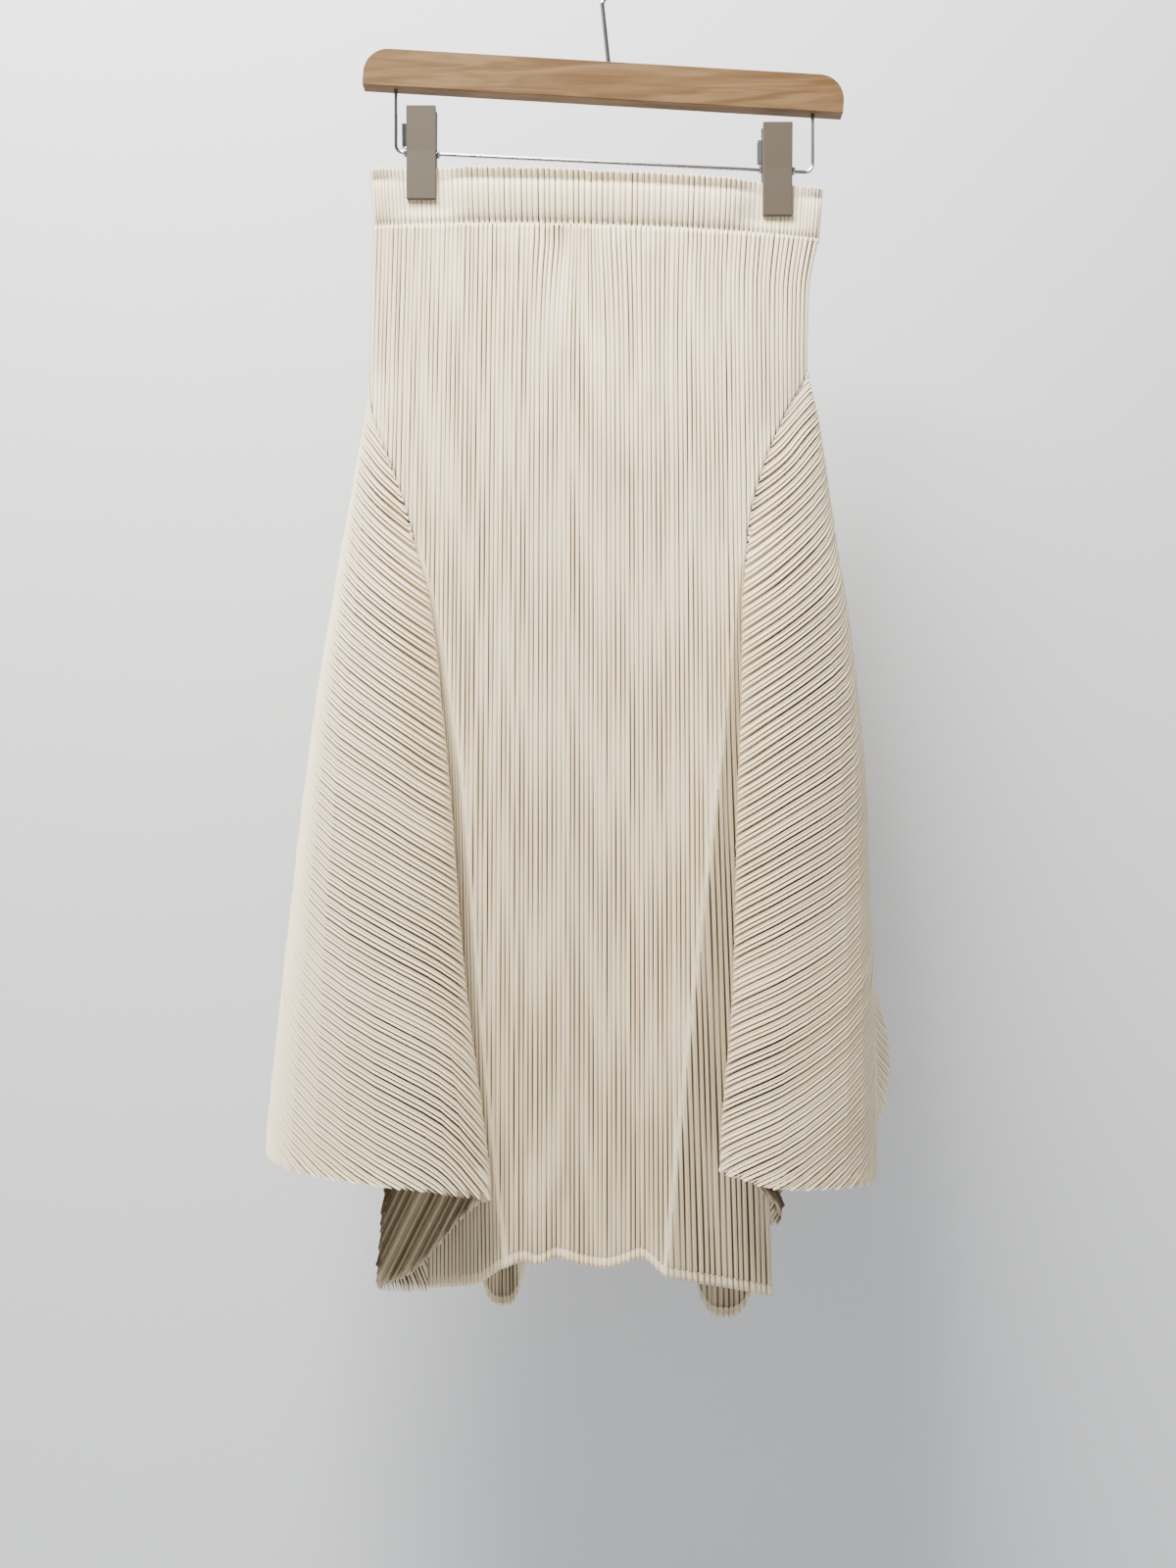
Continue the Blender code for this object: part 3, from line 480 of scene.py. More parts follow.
# Painted shade on the panels: less of it in the hem's grooves, more on the strip past each crease and lower
# down the face.
HEM_PALE = 0.6
HEM_GROOVE = 0.35
STRIP_SHADE = {"left": 0.10, "right": 0.24}
STRIP_EDGE = 5.0
FACE_SHADE = 0.16
FACE_SHADE_TOP = -330.0
CREASE_RIDGE = 0.9
CREASE_RIDGE_WIDTH = 1.7
CREASE_FULL_Z = -600.0
SEAM_LAP = 1.6
SIDE_SEAM_DEPTH = 0.3
SIDE_SEAM_EASE = 5.0
SEAM_HALVINGS = 40
FRONT_CREASES = (
    ((-7, -236), (-5, -905), 2.6, 0.8),
    ((-21, -900), (-27, -972), 4.5, -2.4),
    ((-46, -905), (-52, -960), 8.0, 2.2),
    ((6, -880), (8, -955), 9.0, 1.8),
    ((34, -870), (38, -955), 7.0, -2.4),
    ((-48, -226), (-20, -310), 6.5, 3.4),
    ((-24, -226), (4, -300), 6.0, -3.2),
    ((16, -228), (38, -340), 7.0, 3.0),
    ((-66, -250), (-40, -345), 8.0, -2.6),
    ((44, -246), (26, -345), 6.0, -2.4),
    ((-10, -330), (20, -390), 9.0, 2.2),
)
BACK_CREASES = (
    ((4, -240), (6, -880), 3.0, 0.8),
    ((-30, -226), (-12, -300), 6.0, 1.1),
    ((24, -226), (10, -310), 6.0, -1.0),
    ((-64, -900), (-66, -1010), 12.0, 4.0),
    ((88, -880), (92, -1010), 13.0, 4.5),
)
SLANTS = ((-30.0, 22.0, 4.0), (14.0, 20.0, -3.0), (62.0, 26.0, 1.6))
SLANT_TOP = -226.0
SLANT_LENGTH = 110.0

REACH = {side: (float(plan(side, "side", HIP_POINT_Z)), float(plan(side, "seam", FOLD_START_Z)))
         for side in PLANS}
print("the panels' cloth reaches to:", REACH)

# %% [markdown]
# ### Where the panel's cloth lies
#
# A line of the cloth runs down from the gathered seam and turns with the crease. Its place at every
# height comes from the two tables, so the pleats can follow it.

# %% The wide form of a panel


def band_seam_z(x):
    middle = x - CENTRE_X
    return BAND_SEAM_Z - BAND_TILT * middle + BAND_CROWN * (1 - (middle / BAND_HALF) ** 2)


def hem_z(table, tongues, across):
    value = smooth([row[0] for row in table], [row[1] for row in table], across)
    for at, half_width, drop in tongues:
        away = np.minimum(np.abs(across - at) / half_width, 1.0)
        value = value - drop * np.sqrt(1 - away ** 3)
    return value


def seam_height(side, across):
    """The height at which the curved hip seam crosses a line of the panel's cloth."""
    high, low = HIP_POINT_Z, FOLD_START_Z
    for _ in range(SEAM_HALVINGS):
        middle = (high + low) / 2
        if plan(side, "seam", middle) > across:
            high = middle
        else:
            low = middle
    return (high + low) / 2


def slant(across, z):
    """How far the pleats lean sideways near the gathered seam."""
    fade = np.clip(1 - (SLANT_TOP - z) / SLANT_LENGTH, 0.0, 1.0) ** 2
    return sum(shift * np.exp(-((across - at) / width) ** 2) for at, width, shift in SLANTS) * fade


def panel_line(side, across, z):
    """Where one line of a panel's cloth lies down its rows: how far out, and how far forward."""
    widest, inner = REACH[side]
    crease, seam = plan(side, "crease", z), plan(side, "seam", z)
    face, crease_deep, seam_deep = depth("face", z), depth("crease", z), depth("seam", z)
    drift = plan(side, "side", np.maximum(z, HIP_POINT_Z)) - widest
    above_out = across + drift * (across / widest) ** EDGE_DRIFT
    above_deep = face + (seam_deep - face) * np.minimum(above_out / seam, 1.0) ** FACE_SQUARENESS
    eased = np.sin(math.pi / 2 * min((widest - across) / SIDE_SEAM_EASE, 1.0))
    above_deep = between(SIDE_SEAM_DEPTH, above_deep, eased)
    flat_deep = face + (crease_deep - face) * np.minimum(across / crease, 1.0) ** FACE_SQUARENESS
    share = (across - crease) / np.maximum(inner - crease, 1e-6)
    strip_out = between(crease, seam, share)
    strip_deep = between(crease_deep, seam_deep, share)
    below_out = np.where(across <= crease, across, strip_out)
    below_deep = np.where(across <= crease, flat_deep, strip_deep)
    above = z >= FOLD_START_Z
    return np.where(above, above_out, below_out), np.where(above, above_deep, below_deep)


def panel_grid(lines, row_heights, mirror):
    """The wide form under a run of lines: rows down, lines across, each line with its own heights."""
    grid = np.zeros((row_heights.shape[0], len(lines), 3))
    for j, across in enumerate(lines):
        side = "left" if across < 0 else "right"
        sign = -1.0 if side == "left" else 1.0
        z = row_heights[:, j]
        out, deep = panel_line(side, abs(across), z)
        x = CENTRE_X + sign * out + slant(across, z) * (mirror > 0)
        grid[:, j] = np.stack([x, -deep * mirror, z], axis=1)
    return grid


def rows_down(lines, hem, tongues):
    """Row heights of the middle of a panel: close together at the seam and above the hem."""
    tops = band_seam_z(CENTRE_X + lines) + SEAM_LAP
    hems = hem_z(hem, tongues, lines)
    above = [between(tops, FOLD_START_Z, (i / ROWS_ABOVE) ** ROW_CROWDING) for i in range(ROWS_ABOVE)]
    stop = hems + HEM_ROWS[0] + HEM_CLEAR
    below = [between(FOLD_START_Z, stop, i / ROWS_BELOW) for i in range(ROWS_BELOW + 1)]
    return np.array(above + below + [hems + up for up in HEM_ROWS])


print("the front hem at the centre line:", float(hem_z(FRONT_HEM, (), 0.0)))

# %% [markdown]
# ### Pleats, creases and the shaded strip
#
# Pleats and creases are heights above the wide form. Where the cloth turns back, the crease stands
# up and the strip past it is in shade.

# %% Raise the pleats


def raised(grid, height, creases, outward):
    """The grid lifted along its normals by its pleats and by hand-placed creases."""
    normal = grid_normals(grid) * outward
    lift = height + soft_lines(creases, grid[..., 0] - CENTRE_X, grid[..., 2])
    return grid + normal * lift[..., None]


def breath(lines, z, seed):
    """Pleats open and close slowly down their length, each pleat in its own time."""
    pleat = np.floor(lines / PANEL_PITCH)
    phase = np.modf(np.abs(np.sin(pleat * HASH_STEP + seed)) * HASH_SIZE)[0] * 2 * math.pi
    slow = np.sin(z / BREATH_LENGTH * 2 * math.pi + phase)
    quick = np.sin(z / BREATH_LENGTH * QUICK_BREATH + QUICK_PHASE * phase)
    return 1 + PLEAT_BREATH * (slow + QUICK_SHARE * quick)


def crease_and_strip(lines, z):
    """Where the cloth turns back: 1 along the crease, and how much shade the strip past it holds."""
    ridge, shade = np.zeros(z.shape), np.zeros(z.shape)
    begun = np.clip((FOLD_START_Z - z) / (FOLD_START_Z - CREASE_FULL_Z), 0.0, 1.0)
    for side, on_side in (("left", lines < 0), ("right", lines >= 0)):
        past = np.abs(lines) - plan(side, "crease", z)
        ridge = np.where(on_side, np.exp(-(past / CREASE_RIDGE_WIDTH) ** 2) * begun, ridge)
        shade = np.where(on_side, STRIP_SHADE[side] * np.clip(past / STRIP_EDGE, 0.0, 1.0) * begun, shade)
    return ridge, shade


print("a pleat opens and closes once in", BREATH_LENGTH, "mm")

# %% [markdown]
# ### Each panel from its parts
#
# A panel is one grid between the hip seams and a shorter one on each side, down to the curved seam.
# They share their edge lines, so the weld joins them into one cloth.

# %% Make the panels


def panel_cloth(name, mirror, hem, tongues, creases, profile, seed, node):
    outward = 1.0 if mirror > 0 else -1.0
    leftmost = -REACH["left"][0]
    rightmost = REACH["right"][0]
    where, height, groove_shade = pleat_lines(leftmost, rightmost, PANEL_PITCH, profile, PANEL_WANDER, seed)
    middle = (where > -REACH["left"][1]) & (where < REACH["right"][1])
    ends = (np.array([-REACH["left"][1]]), np.array([REACH["right"][1]]))
    end_height = [np.interp(e, where, height) for e in ends]
    end_groove_shade = [np.interp(e, where, groove_shade) for e in ends]
    lines = np.concatenate([ends[0], where[middle], ends[1]])
    heights = np.concatenate([end_height[0], height[middle], end_height[1]])
    groove_shades = np.concatenate([end_groove_shade[0], groove_shade[middle], end_groove_shade[1]])
    z = rows_down(lines, hem, tongues)
    grid = panel_grid(lines, z, mirror)
    from_hem = z - z[-1]
    pleat = between(PANEL_PLEAT_AT_HEM, PANEL_PLEAT, np.clip(from_hem / PLEAT_CHANGE, 0.0, 1.0))
    stitched = np.exp(-((from_hem - STITCH_ROW) / STITCH_WIDTH) ** 2)
    breathing = breath(lines, z, seed)
    ridge, shade = crease_and_strip(lines, z)
    breathed = heights * pleat * between(1.0, breathing, BREATH_ON_HEIGHT)
    lift = breathed * (1 - STITCH_FLAT * stitched) - HEM_GROOVE * stitched
    lift = between(lift, CREASE_RIDGE, ridge)
    middle_grid = raised(grid, lift, creases, outward)
    in_hem = np.clip((STITCH_ROW - from_hem) / STITCH_WIDTH, 0.0, 1.0)
    # Painted shade: darker in the grooves and lower down the face, paler in the hem, none on the crease line
    # so it stays pale, and darker on the strip past the crease.
    lower_face_shade = FACE_SHADE * np.clip((FACE_SHADE_TOP - z) / (FACE_SHADE_TOP - z[-1]), 0.0, 1.0)
    painted_shade = (groove_shades * breathing * (1 - HEM_PALE * in_hem) + lower_face_shade * (1 - in_hem)) * (1 - ridge) + shade
    grids = [(middle_grid, painted_shade, mirror < 0)]
    for side, end in (("left", ends[0]), ("right", ends[1])):
        beyond = where <= end if side == "left" else where >= end
        edge = 0 if side == "left" else 1
        parts = ((where[beyond], end), (height[beyond], end_height[edge]), (groove_shade[beyond], end_groove_shade[edge]))
        order = 1 if side == "left" else -1
        shoulder, rise, dark = (np.concatenate(pair[::order]) for pair in parts)
        tops = band_seam_z(CENTRE_X + shoulder) + SEAM_LAP
        bottoms = np.array([seam_height(side, abs(s)) for s in shoulder])
        shares = [(i / ROWS_ABOVE) ** ROW_CROWDING for i in range(ROWS_ABOVE + 1)]
        rows = np.array([between(tops, bottoms, share) for share in shares])
        breathing = breath(shoulder, rows, seed)
        lift = rise * PANEL_PLEAT * between(1.0, breathing, BREATH_ON_HEIGHT)
        wide = raised(panel_grid(shoulder, rows, mirror), lift, creases, outward)
        # The parts beside the hip seams get painted shade in their grooves too.
        grids.append((wide, dark * breathing, mirror < 0))
    piece = cloth_object(name, grids, cloth)
    return belongs(piece, "cloth", node), middle_grid


front, front_grid = panel_cloth("front_panel_cloth", 1.0, FRONT_HEM, (), FRONT_CREASES,
                                FRONT_PROFILE, FRONT_SEED, "front_panel")
back, back_grid = panel_cloth("back_panel_cloth", -BACK_DEPTH, BACK_HEM, TONGUES, BACK_CREASES,
                              BACK_PROFILE, BACK_SEED, "back_panel")
print("front panel points:", len(front.data.vertices))

# %% [markdown]
# ## The side panels
#
# A side panel is a flared piece let in from the hip to the hem. It is pleated on the bias: from its
# own centre line at the side, every pleat falls forwards and backwards like an open book. The panel
# is wider than the gap it fills, so it rolls forward over the front panel and back over the back
# panel. Each pleat is a broad flat, a deep line, a narrow ridge and a thin line. The hem is left as
# the pleating machine cut it, so the pleats end as small teeth.

# %% Level sections of a side panel
SECTION_STEPS = 12
LEVEL_STEP = 2.0
LEVELS = np.arange(HIP_POINT_Z + 2.0, -1046.0, -LEVEL_STEP)
FLAP_LINES = ("seam", "turn", "roll", "bulge", "shoulder")
LEAST_SPAN = 0.05
BACK_FLARE = {"right": {"out": 27.0, "along": 44.0, "along_width": 24.0, "z": -825.0, "z_width": 75.0},
              "left": {"out": 0.0, "along": 60.0, "along_width": 40.0, "z": -850.0, "z_width": 60.0}}


def through(points, steps):
    """Centripetal Catmull-Rom curves, one a level, through all points but the first and last."""
    gaps = np.maximum(np.linalg.norm(np.diff(points, axis=1), axis=2), LEAST_SPAN)
    knots = np.concatenate([np.zeros((len(points), 1)), np.cumsum(np.sqrt(gaps), axis=1)], axis=1)
    curve = []
    for i in range(1, points.shape[1] - 2):
        t0, t1, t2, t3 = (knots[:, j:j + 1] for j in range(i - 1, i + 3))
        p0, p1, p2, p3 = (points[:, j] for j in range(i - 1, i + 3))
        for k in range(steps):
            t = t1 + (t2 - t1) * k / steps
            a1 = (t1 - t) / (t1 - t0) * p0 + (t - t0) / (t1 - t0) * p1
            a2 = (t2 - t) / (t2 - t1) * p1 + (t - t1) / (t2 - t1) * p2
            a3 = (t3 - t) / (t3 - t2) * p2 + (t - t2) / (t3 - t2) * p3
            b1 = (t2 - t) / (t2 - t0) * a1 + (t - t0) / (t2 - t0) * a2
            b2 = (t3 - t) / (t3 - t1) * a2 + (t - t1) / (t3 - t1) * a3
            curve.append((t2 - t) / (t2 - t1) * b1 + (t - t1) / (t2 - t1) * b2)
    curve.append(points[:, -2])
    return np.stack(curve, axis=1)


def section_table(side):
    """For every level: the points (out, forward) round the side panel and their length from the side."""
    z = LEVELS
    crease, seam, turn, roll = (np.stack([plan(side, line, z), depth(line, z)], axis=1)
                                for line in ("crease", "seam", "turn", "roll"))
    reach = plan(side, "side", z)
    bulge = np.stack([between(roll[:, 0], reach, BULGE_SHARE), depth("bulge", z)], axis=1)
    shoulder = np.stack([between(bulge[:, 0], reach, SHOULDER_OUT), SHOULDER_DEEP * bulge[:, 1]], axis=1)
    lead = crease - np.stack([np.where(z >= FOLD_START_Z, LEAD_IN, 0.0), np.zeros(len(z))], axis=1)
    front_half = [lead, seam, turn, roll, bulge, shoulder]
    back_half = [p * (1.0, -BACK_DEPTH) for p in reversed(front_half)]
    side_point = np.stack([reach, np.zeros(len(z))], axis=1)
    curve = through(np.stack(front_half + [side_point] + back_half, axis=1), SECTION_STEPS)
    walked = np.cumsum(np.linalg.norm(np.diff(curve, axis=1), axis=2), axis=1)
    length = np.concatenate([np.zeros((len(z), 1)), walked], axis=1)
    return curve, length - length[:, [len(FLAP_LINES) * SECTION_STEPS]]


SECTIONS = {side: section_table(side) for side in PLANS}


def section_point(side, along, z):
    """A point of the side panel: how far out and forward, at a length along the level section."""
    curve, length = SECTIONS[side]
    at = min(max((LEVELS[0] - z) / LEVEL_STEP, 0.0), len(LEVELS) - 1.001)
    i = int(at)
    line = between(curve[i], curve[i + 1], at - i)
    lengths = between(length[i], length[i + 1], at - i)
    out = np.interp(along, lengths, line[:, 0])
    deep = np.interp(along, lengths, line[:, 1])
    flare = BACK_FLARE[side]
    share = math.exp(-((along - flare["along"]) / flare["along_width"]) ** 2
                     - ((z - flare["z"]) / flare["z_width"]) ** 2)
    return out + flare["out"] * share, deep


def line_lengths(side, face):
    """Level by level, how far along the section each line of the flap lies from the side."""
    _, length = SECTIONS[side]
    length = length if face == "front" else -length[:, ::-1]
    return {name: -length[:, i * SECTION_STEPS] for i, name in enumerate(FLAP_LINES)}


print("levels:", len(LEVELS), "points a level:", SECTIONS["left"][0].shape[1])

# %% [markdown]
# ### One pleat of a side panel
#
# A pleat leaves the side's centre line and falls as it goes out, to the seam or the hem. Its points
# lie where it crosses the lines of the flap, so the roll stays smooth.

# %% Where a side pleat runs
SIDE_HEM = {
    "left": {"side": -881, "bulge": -890, "roll": -898, "turn": -961, "seam": -973},
    "right": {"side": -899, "bulge": -889, "roll": -880, "turn": -914, "seam": -926},
}
BACK_HEM_RISE = {"left": 12.0, "right": 34.0}
BACK_HEM_CORNER = {"left": None, "right": (30.0, -864.0)}
SIDE_PLEATS = 80
SIDE_WANDER = 0.09
SIDE_SEEDS = {"left": 31, "right": 47}
SIDE_PROFILE = ((0.0, -1.0), (0.17, 0.9), (0.3, 0.55), (0.48, 0.75), (0.6, -0.75), (0.72, 0.8), (0.85, 0.95))
SIDE_PLEAT = 1.7
FALLS = ((0.0, 0.0), (40.0, 33.0), (80.0, 58.0), (130.0, 85.0), (190.0, 117.0), (215.0, 140.0),
         (400.0, 353.0), (760.0, 767.0))
FULL_PLEAT_LENGTH = 90.0
ROLL_HALF = 11.0
LINE_SHARE = 0.35
SUB_STEPS = 4
LEG_PACKING = 0.004
PAST_ROLL, BEFORE_TURN, PAST_TURN = 0.55, 0.6, 0.4
TOOTH_OUT, TOOTH_IN = 3.2, -2.6
TOOTH_NOISE = 0.7
TOOTH_RIDGE = 0.6
SIDE_TIP_DROP = 4.0
INNER_SHADE = 0.30
INNER_EDGE = 26.0
PLEAT_WANDER = 1.3
PLEAT_WANDER_LENGTH = 24.0
PLEAT_WANDER_DOWN = 45.0
SIDE_CREASES = {
    "left": (((60, -560), (80, -850), 14.0, 1.6),
             ((120, -600), (130, -860), 16.0, -1.8),
             ((-70, -580), (-90, -850), 15.0, 1.8),
             ((-130, -620), (-150, -860), 14.0, -2.0)),
    "right": (((55, -540), (70, -830), 13.0, 1.6),
              ((110, -600), (118, -840), 15.0, -1.6),
              ((-60, -560), (-80, -840), 15.0, 1.8),
              ((-120, -620), (-135, -830), 14.0, -1.8)),
}
ALONG = np.arange(0.0, 760.0, 1.0)


def pleat_drop(along):
    """How far a side pleat has fallen at a length along the section from the side."""
    return smooth(*zip(*FALLS), along)


def side_hem(side, face):
    """The flap's hem as its height at each whole length along the section from the side."""
    heights = SIDE_HEM[side]
    level = (LEVELS[0] - heights["roll"]) / LEVEL_STEP
    lengths = {name: np.interp(level, np.arange(len(LEVELS)), values)
               for name, values in line_lengths(side, face).items()}
    rise = BACK_HEM_RISE[side] if face == "back" else 0.0
    table = [(0.0, heights["side"])]
    if face == "back" and BACK_HEM_CORNER[side]:
        table.append(BACK_HEM_CORNER[side])
    for line in ("bulge", "roll", "turn", "seam"):
        share = min(lengths[line] / lengths["roll"], 1.0)
        table.append((lengths[line], heights[line] + rise * share))
    return smooth([row[0] for row in table], [row[1] for row in table], ALONG)


def first_past(values):
    """The fractional index at which a falling row of values first passes zero."""
    below = np.nonzero(values < 0)[0]
    if len(below) == 0:
        return len(values) - 1.0
    i = below[0]
    if i == 0:
        return 0.0
    return i - 1 + values[i - 1] / (values[i - 1] - values[i])


def pleat_leg(lines, hem, start_z, tooth):
    """Where one line of a side pleat crosses the lines of the flap, out to the seam or the hem."""
    z = start_z - pleat_drop(ALONG)
    here = {name: np.interp(-z, -LEVELS, values) for name, values in lines.items()}
    seam = first_past(here["seam"] - ALONG)
    hemmed = first_past(z - hem)
    stop = seam if seam < hemmed else hemmed + tooth
    at = {name: first_past(values - ALONG) for name, values in here.items()}
    room = min(at["roll"] - at["bulge"], at["turn"] - at["roll"])
    half = min(ROLL_HALF, LINE_SHARE * room)
    marks = [0.0, at["shoulder"] / 2, at["shoulder"], at["bulge"], at["roll"] - half, at["roll"],
             at["roll"] + half, between(at["roll"], at["turn"], PAST_ROLL), at["turn"] - BEFORE_TURN * half,
             between(at["turn"], at["seam"], PAST_TURN), stop]
    fine = np.interp(np.arange((len(marks) - 1) * SUB_STEPS + 1) / SUB_STEPS, np.arange(len(marks)), marks)
    last = len(fine) - 1
    return np.minimum(fine, stop * (1 - LEG_PACKING * (last - np.arange(last + 1))))


print("a side pleat has fallen 100 mm out by:", float(pleat_drop(100.0)))

# %% [markdown]
# ### Both side panels
#
# Eighty pleats, each with a front and a back leg, make one panel. Their ridges run a little past the
# hem line and their grooves stop short of it, which gives the teeth.

# %% Make the side panels


def wander(steps, down):
    """The pleats waver together on their way out, but end where they should."""
    wave = np.sin(steps / PLEAT_WANDER_LENGTH + down / PLEAT_WANDER_DOWN)
    room = 1 - (np.abs(steps) / np.abs(steps).max()) ** 4
    return PLEAT_WANDER * wave * room * np.minimum(np.abs(steps) / PLEAT_WANDER_LENGTH, 1.0)


def inner_shade(lines, alongs, z):
    """The part of a flap that has rolled under, between the roll and the seam, holds shade."""
    shade = np.zeros(z.shape)
    for face, on_face in (("front", alongs < 0), ("back", alongs >= 0)):
        roll = np.interp(-z, -LEVELS, lines[face]["roll"])
        past = np.clip((np.abs(alongs) - roll) / INNER_EDGE, 0.0, 1.0)
        shade = np.where(on_face, INNER_SHADE * past, shade)
    return shade


def side_cloth(side, seed):
    random = np.random.default_rng(seed)
    start, end = HIP_POINT_Z - SIDE_TIP_DROP, SIDE_HEM[side]["side"] + 1.0
    pitch = (start - end) / SIDE_PLEATS
    where, height, groove_shade = pleat_lines(-start, -end, pitch, SIDE_PROFILE, SIDE_WANDER, seed)
    lines = {face: line_lengths(side, face) for face in ("front", "back")}
    hems = {face: side_hem(side, face) for face in ("front", "back")}
    sign = -1.0 if side == "left" else 1.0
    rows, alongs, reach = [], [], []
    for down, up in zip(where, height):
        tooth = (TOOTH_OUT if up > TOOTH_RIDGE else TOOTH_IN) + random.uniform(-TOOTH_NOISE, TOOTH_NOISE)
        front_leg = pleat_leg(lines["front"], hems["front"], -down, tooth)
        back_leg = pleat_leg(lines["back"], hems["back"], -down, tooth)
        steps = np.concatenate([-front_leg[::-1], back_leg[1:]])
        z = -down - pleat_drop(np.abs(steps)) + wander(steps, down)
        spots = [section_point(side, along, level) for along, level in zip(steps, z)]
        rows.append([(CENTRE_X + sign * out, -deep, level) for (out, deep), level in zip(spots, z)])
        alongs.append(steps)
        reach.append(front_leg[-1] + back_leg[-1])
    grid, alongs = np.array(rows), np.array(alongs)
    fade = np.minimum(np.array(reach) / FULL_PLEAT_LENGTH, 1.0)
    lift = (height * SIDE_PLEAT * fade)[:, None] + soft_lines(SIDE_CREASES[side], alongs, grid[..., 2])
    # Painted shade: darker in the pleat grooves and on the part rolled under the flap.
    painted_shade = (groove_shade * fade)[:, None] + inner_shade(lines, alongs, grid[..., 2])
    normal = grid_normals(grid) * sign
    grid = grid + normal * lift[..., None]
    piece = cloth_object("side_panel_%s_cloth" % side, [(grid, painted_shade, side == "left")], cloth)
    return belongs(piece, "cloth", "side_panel_" + side), grid


sides = {side: side_cloth(side, seed) for side, seed in SIDE_SEEDS.items()}
print("side panel points:", {side: len(piece.data.vertices) for side, (piece, _) in sides.items()})

# %% [markdown]
# ## The waistband
#
# The waistband is a casing folded over a flat elastic. One line of stitches below its top edge
# leaves a short frill standing above the elastic, and a second line joins the casing to the skirt.
# The elastic gathers both lines, so they sit deeper than the cloth between them, which puffs out.
# The clips press the band flat where they hold it.

# %% The sizes of the waistband
BAND_TOP_Z = -178.4
BAND_TOP_TILT = 0.041
BAND_ENDS = {"left": -170.0, "right": 160.0}
BAND_PLEATS = 92
BAND_PROFILE = ((0.0, -1.0), (0.2, 0.5), (0.5, 1.0), (0.8, 0.5))
BAND_ROW_COLUMNS = ("share", "wave", "tuck")
BAND_ROWS = (
    (0.00, 1.90, 0.1), (0.05, 1.60, 0.3), (0.12, 0.90, 1.0), (0.18, 0.50, 1.9), (0.23, 0.55, 1.0),
    (0.32, 0.65, -0.7), (0.50, 0.65, -1.7), (0.70, 0.70, -1.2), (0.84, 0.90, 0.2), (0.92, 1.10, 1.8),
    (0.96, 1.00, 1.3), (1.00, 0.90, 1.1),
)
BAND_FINE_ROWS = 30
FRILL_LINE = 0.18
GATHER_LINE = 0.925
PUCKER_X, PUCKER_WIDTH = -2.0, 26.0
BAND_OPEN_TOP = 4.2
BAND_OPEN_SEAM = 4.6
BAND_END_DEPTH = 2.1
BAND_PINCHED = 1.6
PINCH_FLAT = 11.5
PINCH_FADE = 34.0
BAND_TAPER = 0.018
FRILL_SHADE, FRILL_SHADE_WIDTH = 0.22, 0.05
GATHER_SHADE, GATHER_SHADE_WIDTH = 0.30, 0.06
FRILL_WIDTH, GATHER_WIDTH = 0.04, 0.05
SHADE_LEAST = 0.5
RAGGED, RAGGED_FADE = 0.7, 0.1
PUCKER_DROP, PUCKER_ROUGH = 1.2, 0.9
HELD_FLAT, HELD_PALE = 0.85, 0.15
GROOVE_LEAST, GROOVE_WAVE = 0.6, 0.4
BAND_WANDER = 0.14
BAND_SEED = 5
PINCH_BOTTOM = 0.7
END_EASE = 0.35
END_ROUND = 3.0
CLIP_X = {"left": -132.8, "right": 126.4}


def band_top_z(x):
    middle = x - CENTRE_X
    return BAND_TOP_Z - BAND_TOP_TILT * middle + BAND_CROWN * (1 - (middle / BAND_HALF) ** 2)


def clip_pinch(x):
    """1 where a clip holds the band flat, fading to 0 away from it."""
    away = np.min([np.abs(x - clip_x) for clip_x in CLIP_X.values()], axis=0)
    share = np.clip((away - PINCH_FLAT) / (PINCH_FADE - PINCH_FLAT), 0.0, 1.0)
    return 0.5 + 0.5 * np.cos(math.pi * share)


print("the band's top edge at the centre:", band_top_z(CENTRE_X))

# %% [markdown]
# ### The gathered casing
#
# One grid runs all round. Each row, from the frill's edge down to the seam, has its own wave of the
# pleats and its own tuck, where the stitches draw it in.

# %% Make the waistband


